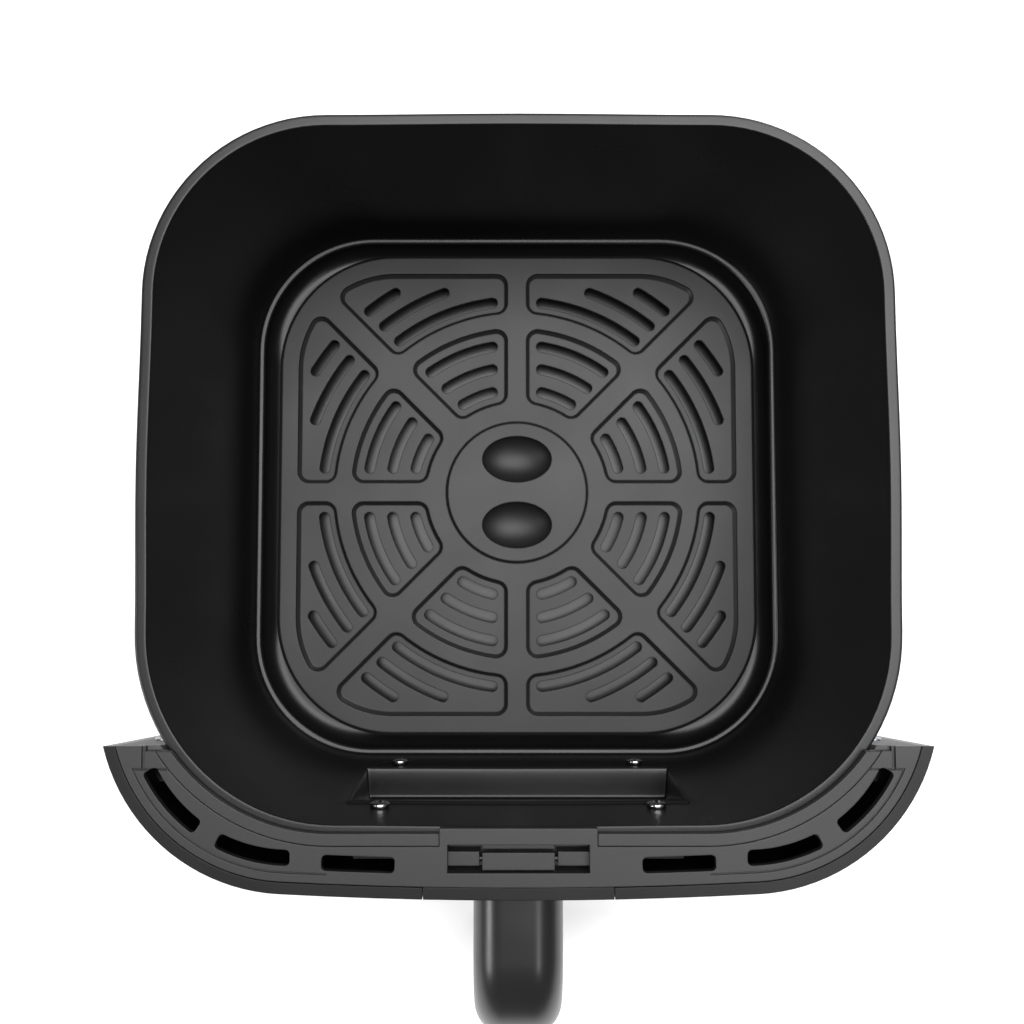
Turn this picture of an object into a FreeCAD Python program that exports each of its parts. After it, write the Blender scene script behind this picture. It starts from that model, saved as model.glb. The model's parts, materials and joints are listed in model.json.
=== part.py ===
import FreeCAD, Part
import math
import os
import re

import Sketcher
from FreeCAD import Rotation, Vector

# The drawer of an air fryer: a drawn steel pan, the grille that lifts out of it, and the curved
# plastic front with its vents, its catch and its handle. Millimetres, +Z up, the handle towards -Y.
# The origin is the middle of the pan's flat underside.

doc = FreeCAD.newDocument("air_fryer_drawer")

# ---------------------------------------------------------------- driving sizes
SIZES = [
    ("pan_width", 255.0, "outside of the rolled rim, left to right"),
    ("pan_length", 242.2, "outside of the rolled rim, front to back"),
    ("pan_height", 115.0, "underside to the top of the rim"),
    ("pan_wall", 1.2, "sheet thickness"),
    ("rim_roll", 3.9, "width of the rolled rim, wall included"),
    ("rim_drop", 5.0, "height of the rolled rim"),
    ("rim_corner", 61.2, "outer radius of the rim's back corners"),
    ("rim_front_corner", 66.3, "outer radius of its front corners"),
    ("wall_draft_side", 11.1, "how far each side wall leans in on its way down"),
    ("wall_draft_front", 5.1, "how far the front and back walls lean in on their way down"),
    ("well_height", 10.0, "height of the small step round the pan's foot"),
    ("well_step", 2.0, "width of that step"),
    ("foot_corner", 50.0, "inner corner radius at the step"),
    ("recess_width", 120.0, "pressed recess in the front wall"),
    ("recess_low", 35.0, "height of its floor"),
    ("recess_down", 29.0, "from the rim down to its upper edge"),
    ("recess_proud", 3.9, "how far its back stands outside the pan's length"),
    ("screw_x", 48.0, "pan screws, left and right of the middle"),
    ("screw_low", 28.0, "height of the lower pan screws"),
    ("screw_down", 22.0, "from the rim down to the upper pan screws"),
    ("screw_radius", 2.0, "shank of an M4 screw"),
    ("screw_head", 3.4, "radius of its head"),
    ("screw_head_high", 2.2, "height of its head"),
    ("head_sunk", 0.2, "how far it is drawn into the wall's slope"),
    ("small_screw", 1.5, "shank of a plastic-forming screw"),
    ("small_head", 2.8, "radius of its head"),
    ("small_head_high", 1.8, "height of its head"),
    ("hole_gap", 0.1, "radial clearance of a screw in its hole"),
    ("front_depth", 18.7, "from the rim to the middle of the front's outer face"),
    ("front_bow", 1500.0, "radius of the front's gentle bow"),
    ("front_corner", 62.8, "radius of the front's outer corners"),
    ("front_side", 9.3, "where the circles of those corners reach, outside the rim's side"),
    ("front_low", 3.0, "height of the front's lower edge"),
    ("front_rise", 3.0, "front's upper edge above the rim"),
    ("front_wall", 3.7, "thickness of the front shell"),
    ("front_floor", 2.5, "thickness of the front shell's floor"),
    ("tip_short", 30.4, "where the wings end, behind the rim's front edge"),
    ("tip_lean", 5.0, "degrees that the wings' ends lean forward on their way down"),
    ("seam", 0.3, "gap between two plastic mouldings"),
    ("cover_thick", 2.5, "top cover"),
    ("cover_overlap", 2.4, "how far the cover reaches in over the rim"),
    ("cap_length", 7.2, "from there to the end of the cover: the end caps"),
    ("cap_in", 6.3, "inner side of the end caps, from the rim's side"),
    ("tongue_width", 51.0, "tongue of the cover over the rim"),
    ("tongue_reach", 4.1, "how far the tongue reaches in over the rim"),
    ("trim_thick", 1.2, "lips let into the cover along the rim"),
    ("trim_wide", 1.7, "their outer edge outside the rim"),
    ("trim_end", 1.6, "from the cover's end to theirs"),
    ("trim_seam", 0.25, "gap round them"),
    ("groove_inset", 6.7, "shadow line of the vents, from the front's outer face"),
    ("groove_wide", 0.5, "that line"),
    ("groove_deep", 0.6, "that line"),
    ("groove_stop", 62.0, "where it stops, left and right of the catch"),
    ("cap_groove", 1.0, "groove between an end cap and its lip"),
    ("slot_width", 5.1, "vent slots"),
    ("slot_run", 18.6, "vent slot between its end centres"),
    ("slot_inset", 10.6, "straight vent slots' centre line from the front's outer face"),
    ("bent_inset", 11.6, "curved vent slots' centre line from it"),
    ("bent_run", 19.4, "curved vent slot between its end centres"),
    ("slot_corner", 1.5, "corner radius of the vent slots"),
    ("slot_in", 22.2, "middle of the straight vent slots, from the front's corner centres"),
    ("slot_turn_near", 76.5, "angle of the inner curved slots round the corner"),
    ("slot_turn_far", 40.7, "angle of the outer curved slots round the corner"),
    ("catch_width", 46.0, "catch recess"),
    ("catch_gap", 1.1, "from the rim to the recess"),
    ("catch_deep", 9.0, "recess, front to back"),
    ("catch_drop", 11.0, "underside of its tray below the front's top"),
    ("tray_wall", 1.5, "wall of the tray"),
    ("tray_gap", 0.2, "rear cover to the tray"),
    ("lever_width", 23.4, "catch lever"),
    ("lever_set", 2.9, "its back edge from the recess's back"),
    ("lever_drop", 1.4, "its face below the front's top"),
    ("lever_thick", 1.8, "plate of the lever"),
    ("pin_set", 5.6, "catch pin from the recess's back"),
    ("pin_drop", 5.4, "catch pin below the front's top"),
    ("pin_radius", 1.0, "its radius"),
    ("pin_half", 16.0, "half its length"),
    ("pin_gap", 0.05, "running clearance round it"),
    ("liner_gap", 0.9, "rear cover to the pan's wall"),
    ("liner_wall", 2.0, "rear cover"),
    ("wing_wall", 3.0, "its end walls behind the wings"),
    ("wing_screw_in", 3.0, "screws through the end walls, from the rim's side"),
    ("wing_screw_low", 35.0, "their lower row"),
    ("wing_screw_down", 25.0, "from the rim down to their upper row"),
    ("post_down", 18.0, "front shell's screw posts below the front's top"),
    ("post_in", 5.5, "inner posts, from the front's corner centres"),
    ("post_inset", 11.3, "posts' middle from the front's outer face"),
    ("post_turn", 58.6, "angle of the outer posts round the corner"),
    ("liner_below", 1.0, "rear cover below the rolled rim"),
    ("window_side", 7.0, "opening for the bracket: its room at each side"),
    ("window_low", 18.0, "its lower edge"),
    ("window_down", 13.0, "from the rim down to its upper edge"),
    ("bracket_gap", 3.0, "bracket's plate from the recess's back"),
    ("bracket_thick", 2.0, "bracket's sheet"),
    ("bracket_side", 10.0, "how far the bracket reaches beyond the front shell's screws"),
    ("bracket_low", 20.0, "its lower edge"),
    ("bracket_down", 14.0, "from the rim down to its upper edge"),
    ("boss_radius", 5.0, "spacers of the bracket"),
    ("seal_thick", 1.5, "silicone washer under each spacer"),
    ("insert_width", 61.6, "handle base, in the gap of the front shell"),
    ("insert_high", 84.0, "its height, down from the front's top"),
    ("insert_flange", 5.0, "how far its flange reaches behind the shell"),
    ("flange_gap", 0.5, "what is left between shell, flange and handle core"),
    ("base_screw_x", 22.0, "screws of the handle base"),
    ("base_screw_down", 43.0, "from the rim down to their upper row"),
    ("base_screw_pitch", 26.0, "from there down to their lower row"),
    ("shell_screw_out", 15.2, "screws of the front shell, from the handle base's side"),
    ("shell_boss", 4.5, "their bosses"),
    ("handle_width", 31.0, "handle, left to right"),
    ("handle_deep", 22.0, "handle, through its thickness"),
    ("handle_round", 10.6, "corner radius of its section"),
    ("handle_wall", 2.5, "wall of its two shells"),
    ("handle_down", 23.5, "middle line of its arm below the rim"),
    ("handle_reach", 49.4, "from the front to the grip's middle line"),
    ("handle_bend", 24.0, "radius of the middle line's bend"),
    ("handle_low", 22.0, "lower end of the grip's shells"),
    ("handle_cap", 4.0, "end cap of the grip"),
    ("grip_screw_low", 0.308, "lower screw of the grip, as a share of its straight run"),
    ("grip_screw_high", 0.835, "upper screw"),
    ("core_width", 14.0, "steel core"),
    ("core_thick", 5.0, "its thickness"),
    ("core_tab", 2.5, "its plate on the bracket"),
    ("grille_gap_x", 7.3, "grille to the step at the pan's foot, left and right"),
    ("grille_gap_y", 6.1, "grille to that step, front and back"),
    ("grille_corner", 50.0, "its corner radius"),
    ("grille_top", 12.0, "height of its ribs above the pan's underside"),
    ("grille_thick", 4.3, "ribs"),
    ("panel_deep", 2.5, "how far the slotted panels lie below the ribs"),
    ("frame_wide", 8.4, "rib round the edge"),
    ("axis_rib", 8.0, "ribs along X and Y"),
    ("diagonal_rib", 9.0, "ribs at 45 degrees"),
    ("ring_inner", 71.8, "ring rib, inside"),
    ("ring_outer", 78.2, "ring rib, outside"),
    ("hub_panel", 38.8, "inner edge of the inner panels"),
    ("panel_corner", 5.0, "corner radius of the panels"),
    ("panel_slope", 1.5, "sloped foot of the panels' walls"),
    ("edge_slope", 1.5, "slope round the grille's upper edge"),
    ("arc_slot", 4.5, "width of the arc slots"),
    ("inner_arc", 45.2, "first arc slot of an inner panel, from the middle"),
    ("inner_pitch", 9.85, "from one of its slots to the next"),
    ("outer_arc", 84.2, "first arc slot of an outer panel"),
    ("outer_pitch", 9.3, "from one of its slots to the next"),
    ("arc_margin", 10.7, "from a rib's middle line to a slot's end centre"),
    ("arc_short", 7.7, "from the rib round the edge to the end centres of the outer slots"),
    ("disc_radius", 30.8, "raised disc in the middle"),
    ("disc_rise", 1.2, "its height above the ribs"),
    ("cup_length", 29.9, "finger cups"),
    ("cup_width", 20.0, "finger cups"),
    ("cup_deep", 7.5, "finger cups"),
    ("cup_y", 14.2, "finger cups, from the middle"),
    ("cup_floor", 1.5, "metal under the cups"),
    ("foot_radius", 5.0, "silicone feet of the grille"),
    ("foot_in", 30.0, "silicone feet, in from the grille's edges"),
]

# Lines that several pieces share, each worked out from those sizes.
LINES = {
    "recess_back": "#pan_length / 2 + #recess_proud",
    "recess_high": "#pan_height - #recess_down",
    "screw_high": "#pan_height - #screw_down",
    "screw_low": "#screw_low",
    "front_y": "#pan_length / 2 + #front_depth",
    "front_corner_x": "#pan_width / 2 + #front_side - #front_corner",
    "front_top": "#pan_height + #front_rise",
    "tip_y": "#pan_length / 2 - #tip_short",
    "cover_end_y": "@tip_y + #cap_length",
    "cap_inner_x": "#pan_width / 2 - #cap_in",
    "tongue_y": "#pan_length / 2 - #tongue_reach",
    "catch_back": "#pan_length / 2 + #catch_gap",
    "catch_front": "@catch_back + #catch_deep",
    "catch_floor": "@front_top - #catch_drop",
    "lever_back": "@catch_back + #lever_set",
    "lever_top": "@front_top - #lever_drop",
    "pin_y": "@catch_back + #pin_set",
    "pin_z": "@front_top - #pin_drop",
    "wing_screw_x": "#pan_width / 2 - #wing_screw_in",
    "wing_screw_high": "#pan_height - #wing_screw_down",
    "wing_screw_low": "#wing_screw_low",
    "post_high": "@front_top - #post_down",
    "post_x": "@front_corner_x - #post_in",
    "liner_high": "#pan_height - #rim_drop - #liner_below",
    "window_high": "#pan_height - #window_down",
    "bracket_face": "@recess_back + #pan_wall + #bracket_gap",
    "bracket_high": "#pan_height - #bracket_down",
    "base_screw_high": "#pan_height - #base_screw_down",
    "base_screw_low": "@base_screw_high - #base_screw_pitch",
    "insert_low": "@front_top - #insert_high",
    "shell_screw_x": "#insert_width / 2 + #shell_screw_out",
    "bracket_half": "@shell_screw_x + #bracket_side",
    "window_half": "@bracket_half + #window_side",
    "core_front": "@bracket_face + #bracket_thick + #core_tab",
    "flange_thick": "@front_y - #front_wall - @core_front - #flange_gap",
    "tray_back": "#pan_length / 2 - #rim_roll + #pan_wall + #liner_gap + #liner_wall + #tray_gap",
    "grip_high": "@handle_z - #handle_bend - #handle_low",
    "slot_x": "@front_corner_x - #slot_in",
    "handle_z": "#pan_height - #handle_down",
    "foot_half_x": "#pan_width / 2 - #rim_roll - #wall_draft_side",
    "foot_half_y": "#pan_length / 2 - #rim_roll - #wall_draft_front",
    "grille_half_x": "@foot_half_x - #well_step - #grille_gap_x",
    "grille_half_y": "@foot_half_y - #well_step - #grille_gap_y",
    "arc_limit": "@grille_half_y - #frame_wide - #arc_short",
}
FAR, BACK = "300", "-300"

sheet = doc.addObject("Spreadsheet::Sheet", "sizes")
for row, (alias, number, note) in enumerate(SIZES, start=1):
    sheet.set(f"A{row}", alias)
    sheet.set(f"B{row}", str(number))
    sheet.set(f"C{row}", note)
    sheet.setAlias(f"B{row}", alias)
doc.recompute()

nodes = []


def named(text):
    """Turn the short form '@tip_y + #seam' into an expression: @ is a line, # a cell of the sheet."""
    while "@" in text:
        text = re.sub(r"@(\w+)", lambda found: "(" + LINES[found[1]] + ")", text)
    return text.replace("#", "sizes.")


def value(text):
    """Work out such an expression as a plain number."""
    result = sheet.evalExpression(named(text))
    return float(getattr(result, "Value", result))


def keep(thing, label):
    """Make this object one of the assembly's nodes."""
    thing.Label = label
    nodes.append(thing)
    return thing


# ---------------------------------------------------------------- outlines
PLANES = {
    "XY": (Rotation(), "z", 1),
    "XZ": (Rotation(Vector(1, 0, 0), 90), "y", -1),
    "YZ": (Rotation(Vector(1, 1, 1), 120), "x", 1),
}


def outline(name, plane, level):
    """Start a sketch on a plane through the origin, moved along its normal to 'level'."""
    drawing = doc.addObject("Sketcher::SketchObject", name)
    turn, letter, sign = PLANES[plane]
    drawing.Placement = FreeCAD.Placement(Vector(), turn)
    prefix = "" if sign > 0 else "-1 * "
    drawing.setExpression(f"Placement.Base.{letter}", f"{prefix}({named(level)})")
    return drawing


def bind(drawing, kind, *parts):
    """Add one dimension whose last part is its expression."""
    *places, text = parts
    index = drawing.addConstraint(Sketcher.Constraint(kind, *places, value(text)))
    drawing.setExpression(f"Constraints[{index}]", named(text))


def tie(drawing, kind, *places):
    drawing.addConstraint(Sketcher.Constraint(kind, *places))


def rounded_rectangle(name, level, half_x, half_y, radius, front=None, plane="XY", centre_y="0"):
    """Four sides and four corner arcs, all tangent. The front pair of corners may have its own radius."""
    front = front or radius
    a, b, r, f, c = (value(text) for text in (half_x, half_y, radius, front, centre_y))
    drawing = outline(name, plane, level)
    corners = [(a - f, c - b + f, f), (a - r, c + b - r, r), (r - a, c + b - r, r), (f - a, c - b + f, f)]
    ends = []
    for turn, (x, y, size) in enumerate(corners):
        angles = ((turn - 1) * math.pi / 2, turn * math.pi / 2)
        ends.append([Vector(x + size * math.cos(t), y + size * math.sin(t)) for t in angles])
    for turn in range(4):
        drawing.addGeometry(Part.LineSegment(ends[turn - 1][1], ends[turn][0]))
    for turn, (x, y, size) in enumerate(corners):
        first = (turn - 1) * math.pi / 2
        circle = Part.Circle(Vector(x, y), Vector(0, 0, 1), size)
        drawing.addGeometry(Part.ArcOfCircle(circle, first, first + math.pi / 2))
    for turn in range(4):
        tie(drawing, "Tangent", turn, 2, turn + 4, 1)
        tie(drawing, "Tangent", turn + 4, 2, (turn + 1) % 4, 1)
        tie(drawing, "Vertical" if turn % 2 else "Horizontal", turn)
    tie(drawing, "Equal", 4, 7)
    tie(drawing, "Equal", 5, 6)
    bind(drawing, "Radius", 4, front)
    bind(drawing, "Radius", 5, radius)
    bind(drawing, "DistanceX", -1, 1, 4, 3, f"({half_x}) - ({front})")
    bind(drawing, "DistanceX", 6, 3, -1, 1, f"({half_x}) - ({radius})")
    bind(drawing, "DistanceY", 4, 3, 5, 3, f"2 * ({half_y}) - ({front}) - ({radius})")
    bind(drawing, "DistanceY", 4, 3, -1, 1, f"({half_y}) - ({front}) - ({centre_y})")
    return drawing


def box_outline(name, plane, level, left, right, low, high):
    """A rectangle between four coordinates, each an expression."""
    x0, x1, y0, y1 = (value(text) for text in (left, right, low, high))
    drawing = outline(name, plane, level)
    points = [Vector(x0, y0), Vector(x1, y0), Vector(x1, y1), Vector(x0, y1)]
    for turn in range(4):
        drawing.addGeometry(Part.LineSegment(points[turn], points[(turn + 1) % 4]))
    for turn in range(4):
        tie(drawing, "Coincident", turn, 2, (turn + 1) % 4, 1)
        tie(drawing, "Vertical" if turn % 2 else "Horizontal", turn)
    bind(drawing, "DistanceX", -1, 1, 0, 1, left)
    bind(drawing, "DistanceX", -1, 1, 0, 2, right)
    bind(drawing, "DistanceY", -1, 1, 0, 1, low)
    bind(drawing, "DistanceY", -1, 1, 2, 1, high)
    return drawing


def front_outline(name, level, inset):
    """The front seen from above: a bowed front, two round corners, and a straight back."""
    bow, corner = f"#front_bow - ({inset})", f"#front_corner - ({inset})"
    big, r, cx = value(bow), value(corner), value("@front_corner_x")
    cy = value("#front_bow - @front_y")
    lean = math.asin(cx / (big - r))
    corner_y = cy - (big - r) * math.cos(lean)
    back_y = -value("#front_corner")
    drawing = outline(name, "XY", level)
    down = Vector(0, 0, 1)
    turn = math.asin((back_y - corner_y) / r)
    front = -math.pi / 2
    drawing.addGeometry(Part.ArcOfCircle(Part.Circle(Vector(0, cy), down, big), front - lean, front + lean))
    right = Part.Circle(Vector(cx, corner_y), down, r)
    drawing.addGeometry(Part.ArcOfCircle(right, front + lean, turn))
    left = Part.Circle(Vector(-cx, corner_y), down, r)
    drawing.addGeometry(Part.ArcOfCircle(left, math.pi - turn, front - lean + 2 * math.pi))
    reach = r * math.cos(turn)
    drawing.addGeometry(Part.LineSegment(Vector(cx + reach, back_y), Vector(-cx - reach, back_y)))
    tie(drawing, "Tangent", 0, 2, 1, 1)
    tie(drawing, "Coincident", 1, 2, 3, 1)
    tie(drawing, "Coincident", 3, 2, 2, 1)
    tie(drawing, "Tangent", 2, 2, 0, 1)
    tie(drawing, "Horizontal", 3)
    tie(drawing, "PointOnObject", 0, 3, -2)
    tie(drawing, "Equal", 1, 2)
    bind(drawing, "Radius", 0, bow)
    bind(drawing, "Radius", 1, corner)
    bind(drawing, "DistanceX", -1, 1, 1, 3, "@front_corner_x")
    bind(drawing, "DistanceX", 2, 3, -1, 1, "@front_corner_x")
    bind(drawing, "DistanceY", -1, 1, 0, 3, "#front_bow - @front_y")
    bind(drawing, "DistanceY", 3, 1, -1, 1, "#front_corner")
    return drawing


# ---------------------------------------------------------------- solids
def raise_solid(drawing, length):
    """Extrude a sketch along its normal."""
    solid = doc.addObject("Part::Extrusion", drawing.Name + "_solid")
    solid.Base = drawing
    solid.DirMode = "Normal"
    solid.Solid = True
    solid.setExpression("LengthFwd", named(length))
    return solid


def loft(name, lower, upper):
    solid = doc.addObject("Part::Loft", name)
    solid.Sections = [lower, upper]
    solid.Solid = True
    solid.Ruled = True
    return solid


def combine(kind, name, *things):
    """Fuse or intersect several solids, or take the rest away from the first."""
    if kind == "Cut" and len(things) > 2:
        things = (things[0], combine("MultiFuse", name + "_tools", *things[1:]))
    result = doc.addObject(f"Part::{kind}", name)
    if kind == "Cut":
        result.Base, result.Tool = things
    else:
        result.Shapes = list(things)
    return result


def place(solid, x="0", y="0", z="0", turn=None):
    if turn is not None:
        solid.Placement = FreeCAD.Placement(Vector(), turn)
    for letter, text in zip("xyz", (x, y, z)):
        if text != "0":
            solid.setExpression(f"Placement.Base.{letter}", named(text))
    return solid


AIMS = {
    "+Z": Rotation(),
    "-Z": Rotation(Vector(1, 0, 0), 180),
    "-Y": Rotation(Vector(1, 0, 0), 90),
    "+Y": Rotation(Vector(1, 0, 0), -90),
    "+X": Rotation(Vector(0, 1, 0), 90),
}


def rod(name, radius, length, x="0", y="0", z="0", aim="+Z"):
    """A round bar that starts at a point and runs along 'aim'."""
    solid = doc.addObject("Part::Cylinder", name)
    solid.setExpression("Radius", named(radius))
    solid.setExpression("Height", named(length))
    return place(solid, x, y, z, AIMS[aim])


def block(name, left, right, near, far, low, high):
    """A box between six coordinates; 'near' and 'far' are counted along +Y."""
    solid = doc.addObject("Part::Box", name)
    solid.setExpression("Length", named(f"({right}) - ({left})"))
    solid.setExpression("Width", named(f"({far}) - ({near})"))
    solid.setExpression("Height", named(f"({high}) - ({low})"))
    return place(solid, left, near, low)


def screws(label, places, shank, head, head_high, length, aim):
    """A group of equal screws along 'aim'. Each place is where the head meets the piece it holds."""
    every = []
    opposite = {"+Z": "-Z", "-Y": "+Y"}[aim]
    for count, (x, y, z) in enumerate(places):
        name = f"{label}_{count}"
        bar = rod(name + "_shank", shank, length, x, y, z, aim)
        top = rod(name + "_head", head, head_high, x, y, z, opposite)
        every.append(combine("MultiFuse", name, bar, top))
    group = doc.addObject("Part::Compound", label)
    group.Links = every
    return keep(group, label)


def both_sides(x):
    return (x, f"-1 * ({x})")


# ---------------------------------------------------------------- pan
RIM = ("#pan_width / 2", "#pan_length / 2", "#rim_corner", "#rim_front_corner")
TOP_IN = tuple(f"{text} - #rim_roll" for text in RIM)
FOOT_IN = ("@foot_half_x", "@foot_half_y", "#foot_corner", "#foot_corner")
WELL_IN = tuple(f"{text} - #well_step" for text in FOOT_IN)


def grown(sizes, by):
    return tuple(f"{text} + {by}" for text in sizes)


def make_pan():
    """Drawn sheet: leaning walls, a small step round the foot, a turned-down rim, a pressed recess."""
    outside = loft("pan_outside",
                   rounded_rectangle("pan_out_low", "#well_height - #pan_wall",
                                     *grown(FOOT_IN, "#pan_wall")),
                   rounded_rectangle("pan_out_high", "#pan_height", *grown(TOP_IN, "#pan_wall")))
    well = raise_solid(rounded_rectangle("well_out", "0", *grown(WELL_IN, "#pan_wall")), "#well_height")
    rim = raise_solid(rounded_rectangle("rim_out", "#pan_height - #rim_drop", *RIM), "#rim_drop")
    recess = block("recess_out", "-1 * #recess_width / 2 - #pan_wall", "#recess_width / 2 + #pan_wall",
                   "-1 * @recess_back - #pan_wall", "-1 * @recess_back + 17",
                   "#recess_low - #pan_wall", "@recess_high + #pan_wall")
    inside = loft("pan_inside", rounded_rectangle("pan_in_low", "#well_height", *FOOT_IN),
                  rounded_rectangle("pan_in_high", "#pan_height", *TOP_IN))
    well_in = raise_solid(rounded_rectangle("well_in", "#pan_wall", *WELL_IN), "#well_height - #pan_wall")
    recess_in = block("recess_in", "-1 * #recess_width / 2", "#recess_width / 2",
                      "-1 * @recess_back", "-1 * @recess_back + 25", "#recess_low", "@recess_high")
    under = "#rim_drop - #pan_wall"
    low = "#pan_height - #rim_drop"
    roll = raise_solid(rounded_rectangle("roll_out", low, *grown(RIM, "-1 * #pan_wall")), under)
    wall = raise_solid(rounded_rectangle("roll_in", low, *grown(TOP_IN, "#pan_wall")), under)
    hollow = combine("Cut", "roll_hollow", roll, wall)
    holes = []
    for side, x in enumerate(both_sides("#screw_x")):
        for level in ("low", "high"):
            holes.append(rod(f"pan_hole_{side}_{level}", "#screw_radius + #hole_gap", "25",
                             x, "-1 * @recess_back + 25", f"@screw_{level}", "-Y"))
    shell = combine("MultiFuse", "pan_blank", outside, well, rim, recess)
    return keep(combine("Cut", "pan", shell, inside, well_in, recess_in, hollow, *holes), "pan")


# ---------------------------------------------------------------- front
LINER_IN = grown(TOP_IN, "#pan_wall + #liner_gap")
LINER_OUT = grown(LINER_IN, "#liner_wall")
FLOOR_TOP = "#front_low + #front_floor"
COVER_UNDER = "@front_top - #cover_thick"
COVER_INSET = "#front_wall + #seam"
SCREW_ROWS = ("low", "high")


def behind_tips(name, forward="0"):
    """A large block behind the leaning plane that ends the wings, moved forward by 'forward'."""
    solid = doc.addObject("Part::Box", name)
    half = float(FAR)
    solid.Length, solid.Width, solid.Height = 2 * half, half, 2 * half
    lean = Rotation(Vector(1, 0, 0), -value("#tip_lean"))
    start = Vector(-half, -value(f"@tip_y + ({forward})"), value("@front_top"))
    solid.Placement = FreeCAD.Placement(start - lean.multVec(Vector(0, 0, half)), lean)
    return solid


def corner_middle():
    """Centre of the front's round corner: the corner arc is tangent inside the bowed front."""
    inner = value("#front_bow - #front_corner")
    x = value("@front_corner_x")
    return x, value("#front_bow - @front_y") - math.sqrt(inner ** 2 - x ** 2)


def bowed_y(x, inset):
    """Where a line parallel to the bowed front lies at x."""
    return value("#front_bow - @front_y") - math.sqrt(value(f"#front_bow - {inset}") ** 2 - x ** 2)


def post_places():
    """Four posts: two behind the bowed front, two round the corners between the vent slots."""
    x, y = corner_middle()
    turn = math.radians(value("#post_turn"))
    reach = value("#front_corner - #post_inset")
    outer = (x + reach * math.cos(turn), y - reach * math.sin(turn))
    inner = (value("@post_x"), bowed_y(value("@post_x"), "#post_inset"))
    return [(str(side * x), str(y)) for x, y in (inner, outer) for side in (1, -1)]


def wing_seat(level):
    """Depth of the flat seat of a wing screw, just inside the leaning end wall."""
    return f"-1 * @tip_y - (@front_top - @wing_screw_{level}) * tan(#tip_lean) - 0.6"


def wing_places():
    return [(x, wing_seat(level), f"@wing_screw_{level}")
            for x in both_sides("@wing_screw_x") for level in SCREW_ROWS]


def plate_places(across):
    """Screws that start on the rear face of the bracket's plate."""
    return [(x, "-1 * @bracket_face", f"@base_screw_{level}")
            for x in both_sides(across) for level in SCREW_ROWS]


def bored(name, places, radius, length, aim="-Y"):
    return [rod(f"{name}_{count}", radius, length, *place, aim) for count, place in enumerate(places)]


def make_front_shell():
    """The outer skin with its floor, a gap in the middle for the handle base, and screw bosses."""
    skin = raise_solid(front_outline("shell_out", "#front_low", "0"), "@front_top - #front_low")
    room = raise_solid(front_outline("shell_in", FLOOR_TOP, "#front_wall"), "@front_top - #front_low")
    pan_side = raise_solid(rounded_rectangle("shell_pan_side", "0", *grown(LINER_OUT, "#seam")),
                           "@front_top")
    gap = block("shell_gap", "-1 * #insert_width / 2 - #seam", "#insert_width / 2 + #seam",
                "-1 * @front_y - 5", "-1 * @front_y + #front_wall + 1",
                "@insert_low - #seam", "@front_top + 1")
    hollow = combine("Cut", "shell_hollow", skin, room, pan_side, gap)
    plate_front = "-1 * @bracket_face - #bracket_thick"
    starts = [(x, plate_front, z) for x, y, z in plate_places("@shell_screw_x")]
    bosses = bored("shell_boss", starts, "#shell_boss", "@front_y - @bracket_face - #bracket_thick")
    bosses += bored("wing_boss", wing_places(), "#shell_boss", "13")
    posts = [(x, y, FLOOR_TOP) for x, y in post_places()]
    bosses += bored("post", posts, "#shell_boss", "@post_high - #front_low - #front_floor", "+Z")
    limit = raise_solid(front_outline("boss_limit", "0", "#front_wall / 2"), "@front_top")
    inside = combine("MultiCommon", "shell_bosses", combine("MultiFuse", "boss_set", *bosses), limit)
    trimmed = combine("Cut", "shell_bosses_cut", inside, behind_tips("boss_end", "#wing_wall"))
    under = [(x, y, "#front_low - 1") for x, y in post_places()]
    holes = bored("shell_hole", starts, "#small_screw + #hole_gap", "7")
    holes += bored("wing_hole", wing_places(), "#small_screw + #hole_gap", "12")
    holes += bored("post_way", under, "#small_head + 0.4", "@post_high - #front_low - 2", "+Z")
    holes += bored("post_hole", under, "#small_screw + #hole_gap", "@front_top", "+Z")
    whole = combine("MultiFuse", "shell_whole", hollow, trimmed)
    return keep(combine("Cut", "front_shell", whole, behind_tips("shell_end"), *holes), "front_shell")


def ring_part(radius, first, last, width, low, high):
    """A piece of a ring between two angles, in degrees, with flat ends."""
    start = Vector(0, 0, low)
    ring = Part.makeCylinder(radius + width / 2, high - low, start, Vector(0, 0, 1), last - first)
    ring = ring.cut(Part.makeCylinder(radius - width / 2, high - low, start))
    ring.rotate(Vector(), Vector(0, 0, 1), first)
    return ring


def slot_shape(radius, first, last, width, low, high):
    """A slot bent round the origin, with round ends."""
    ring = ring_part(radius, first, last, width, low, high)
    for turn in (first, last):
        a = math.radians(turn)
        end = Vector(radius * math.cos(a), radius * math.sin(a), low)
        ring = ring.fuse(Part.makeCylinder(width / 2, high - low, end))
    return ring


def vent_shape(radius, turn, run, middle):
    """A vent: its length is 'run' and a width more, and its four corners are a little round."""
    width = value("#slot_width")
    half = math.degrees((run + width) / 2 / radius)
    top = value("@front_top")
    slot = ring_part(radius, turn - half, turn + half, width, top - 20, top + 1)
    upright = [edge for edge in slot.Edges if abs(edge.tangentAt(edge.FirstParameter).z) > 0.9]
    slot = slot.makeFillet(value("#slot_corner"), upright)
    slot.translate(middle)
    return slot


def tool(name, shapes):
    """Several shapes worked out in code, held as one object of the document."""
    thing = doc.addObject("Part::Feature", name)
    thing.Shape = Part.makeCompound(shapes)
    return thing


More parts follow.
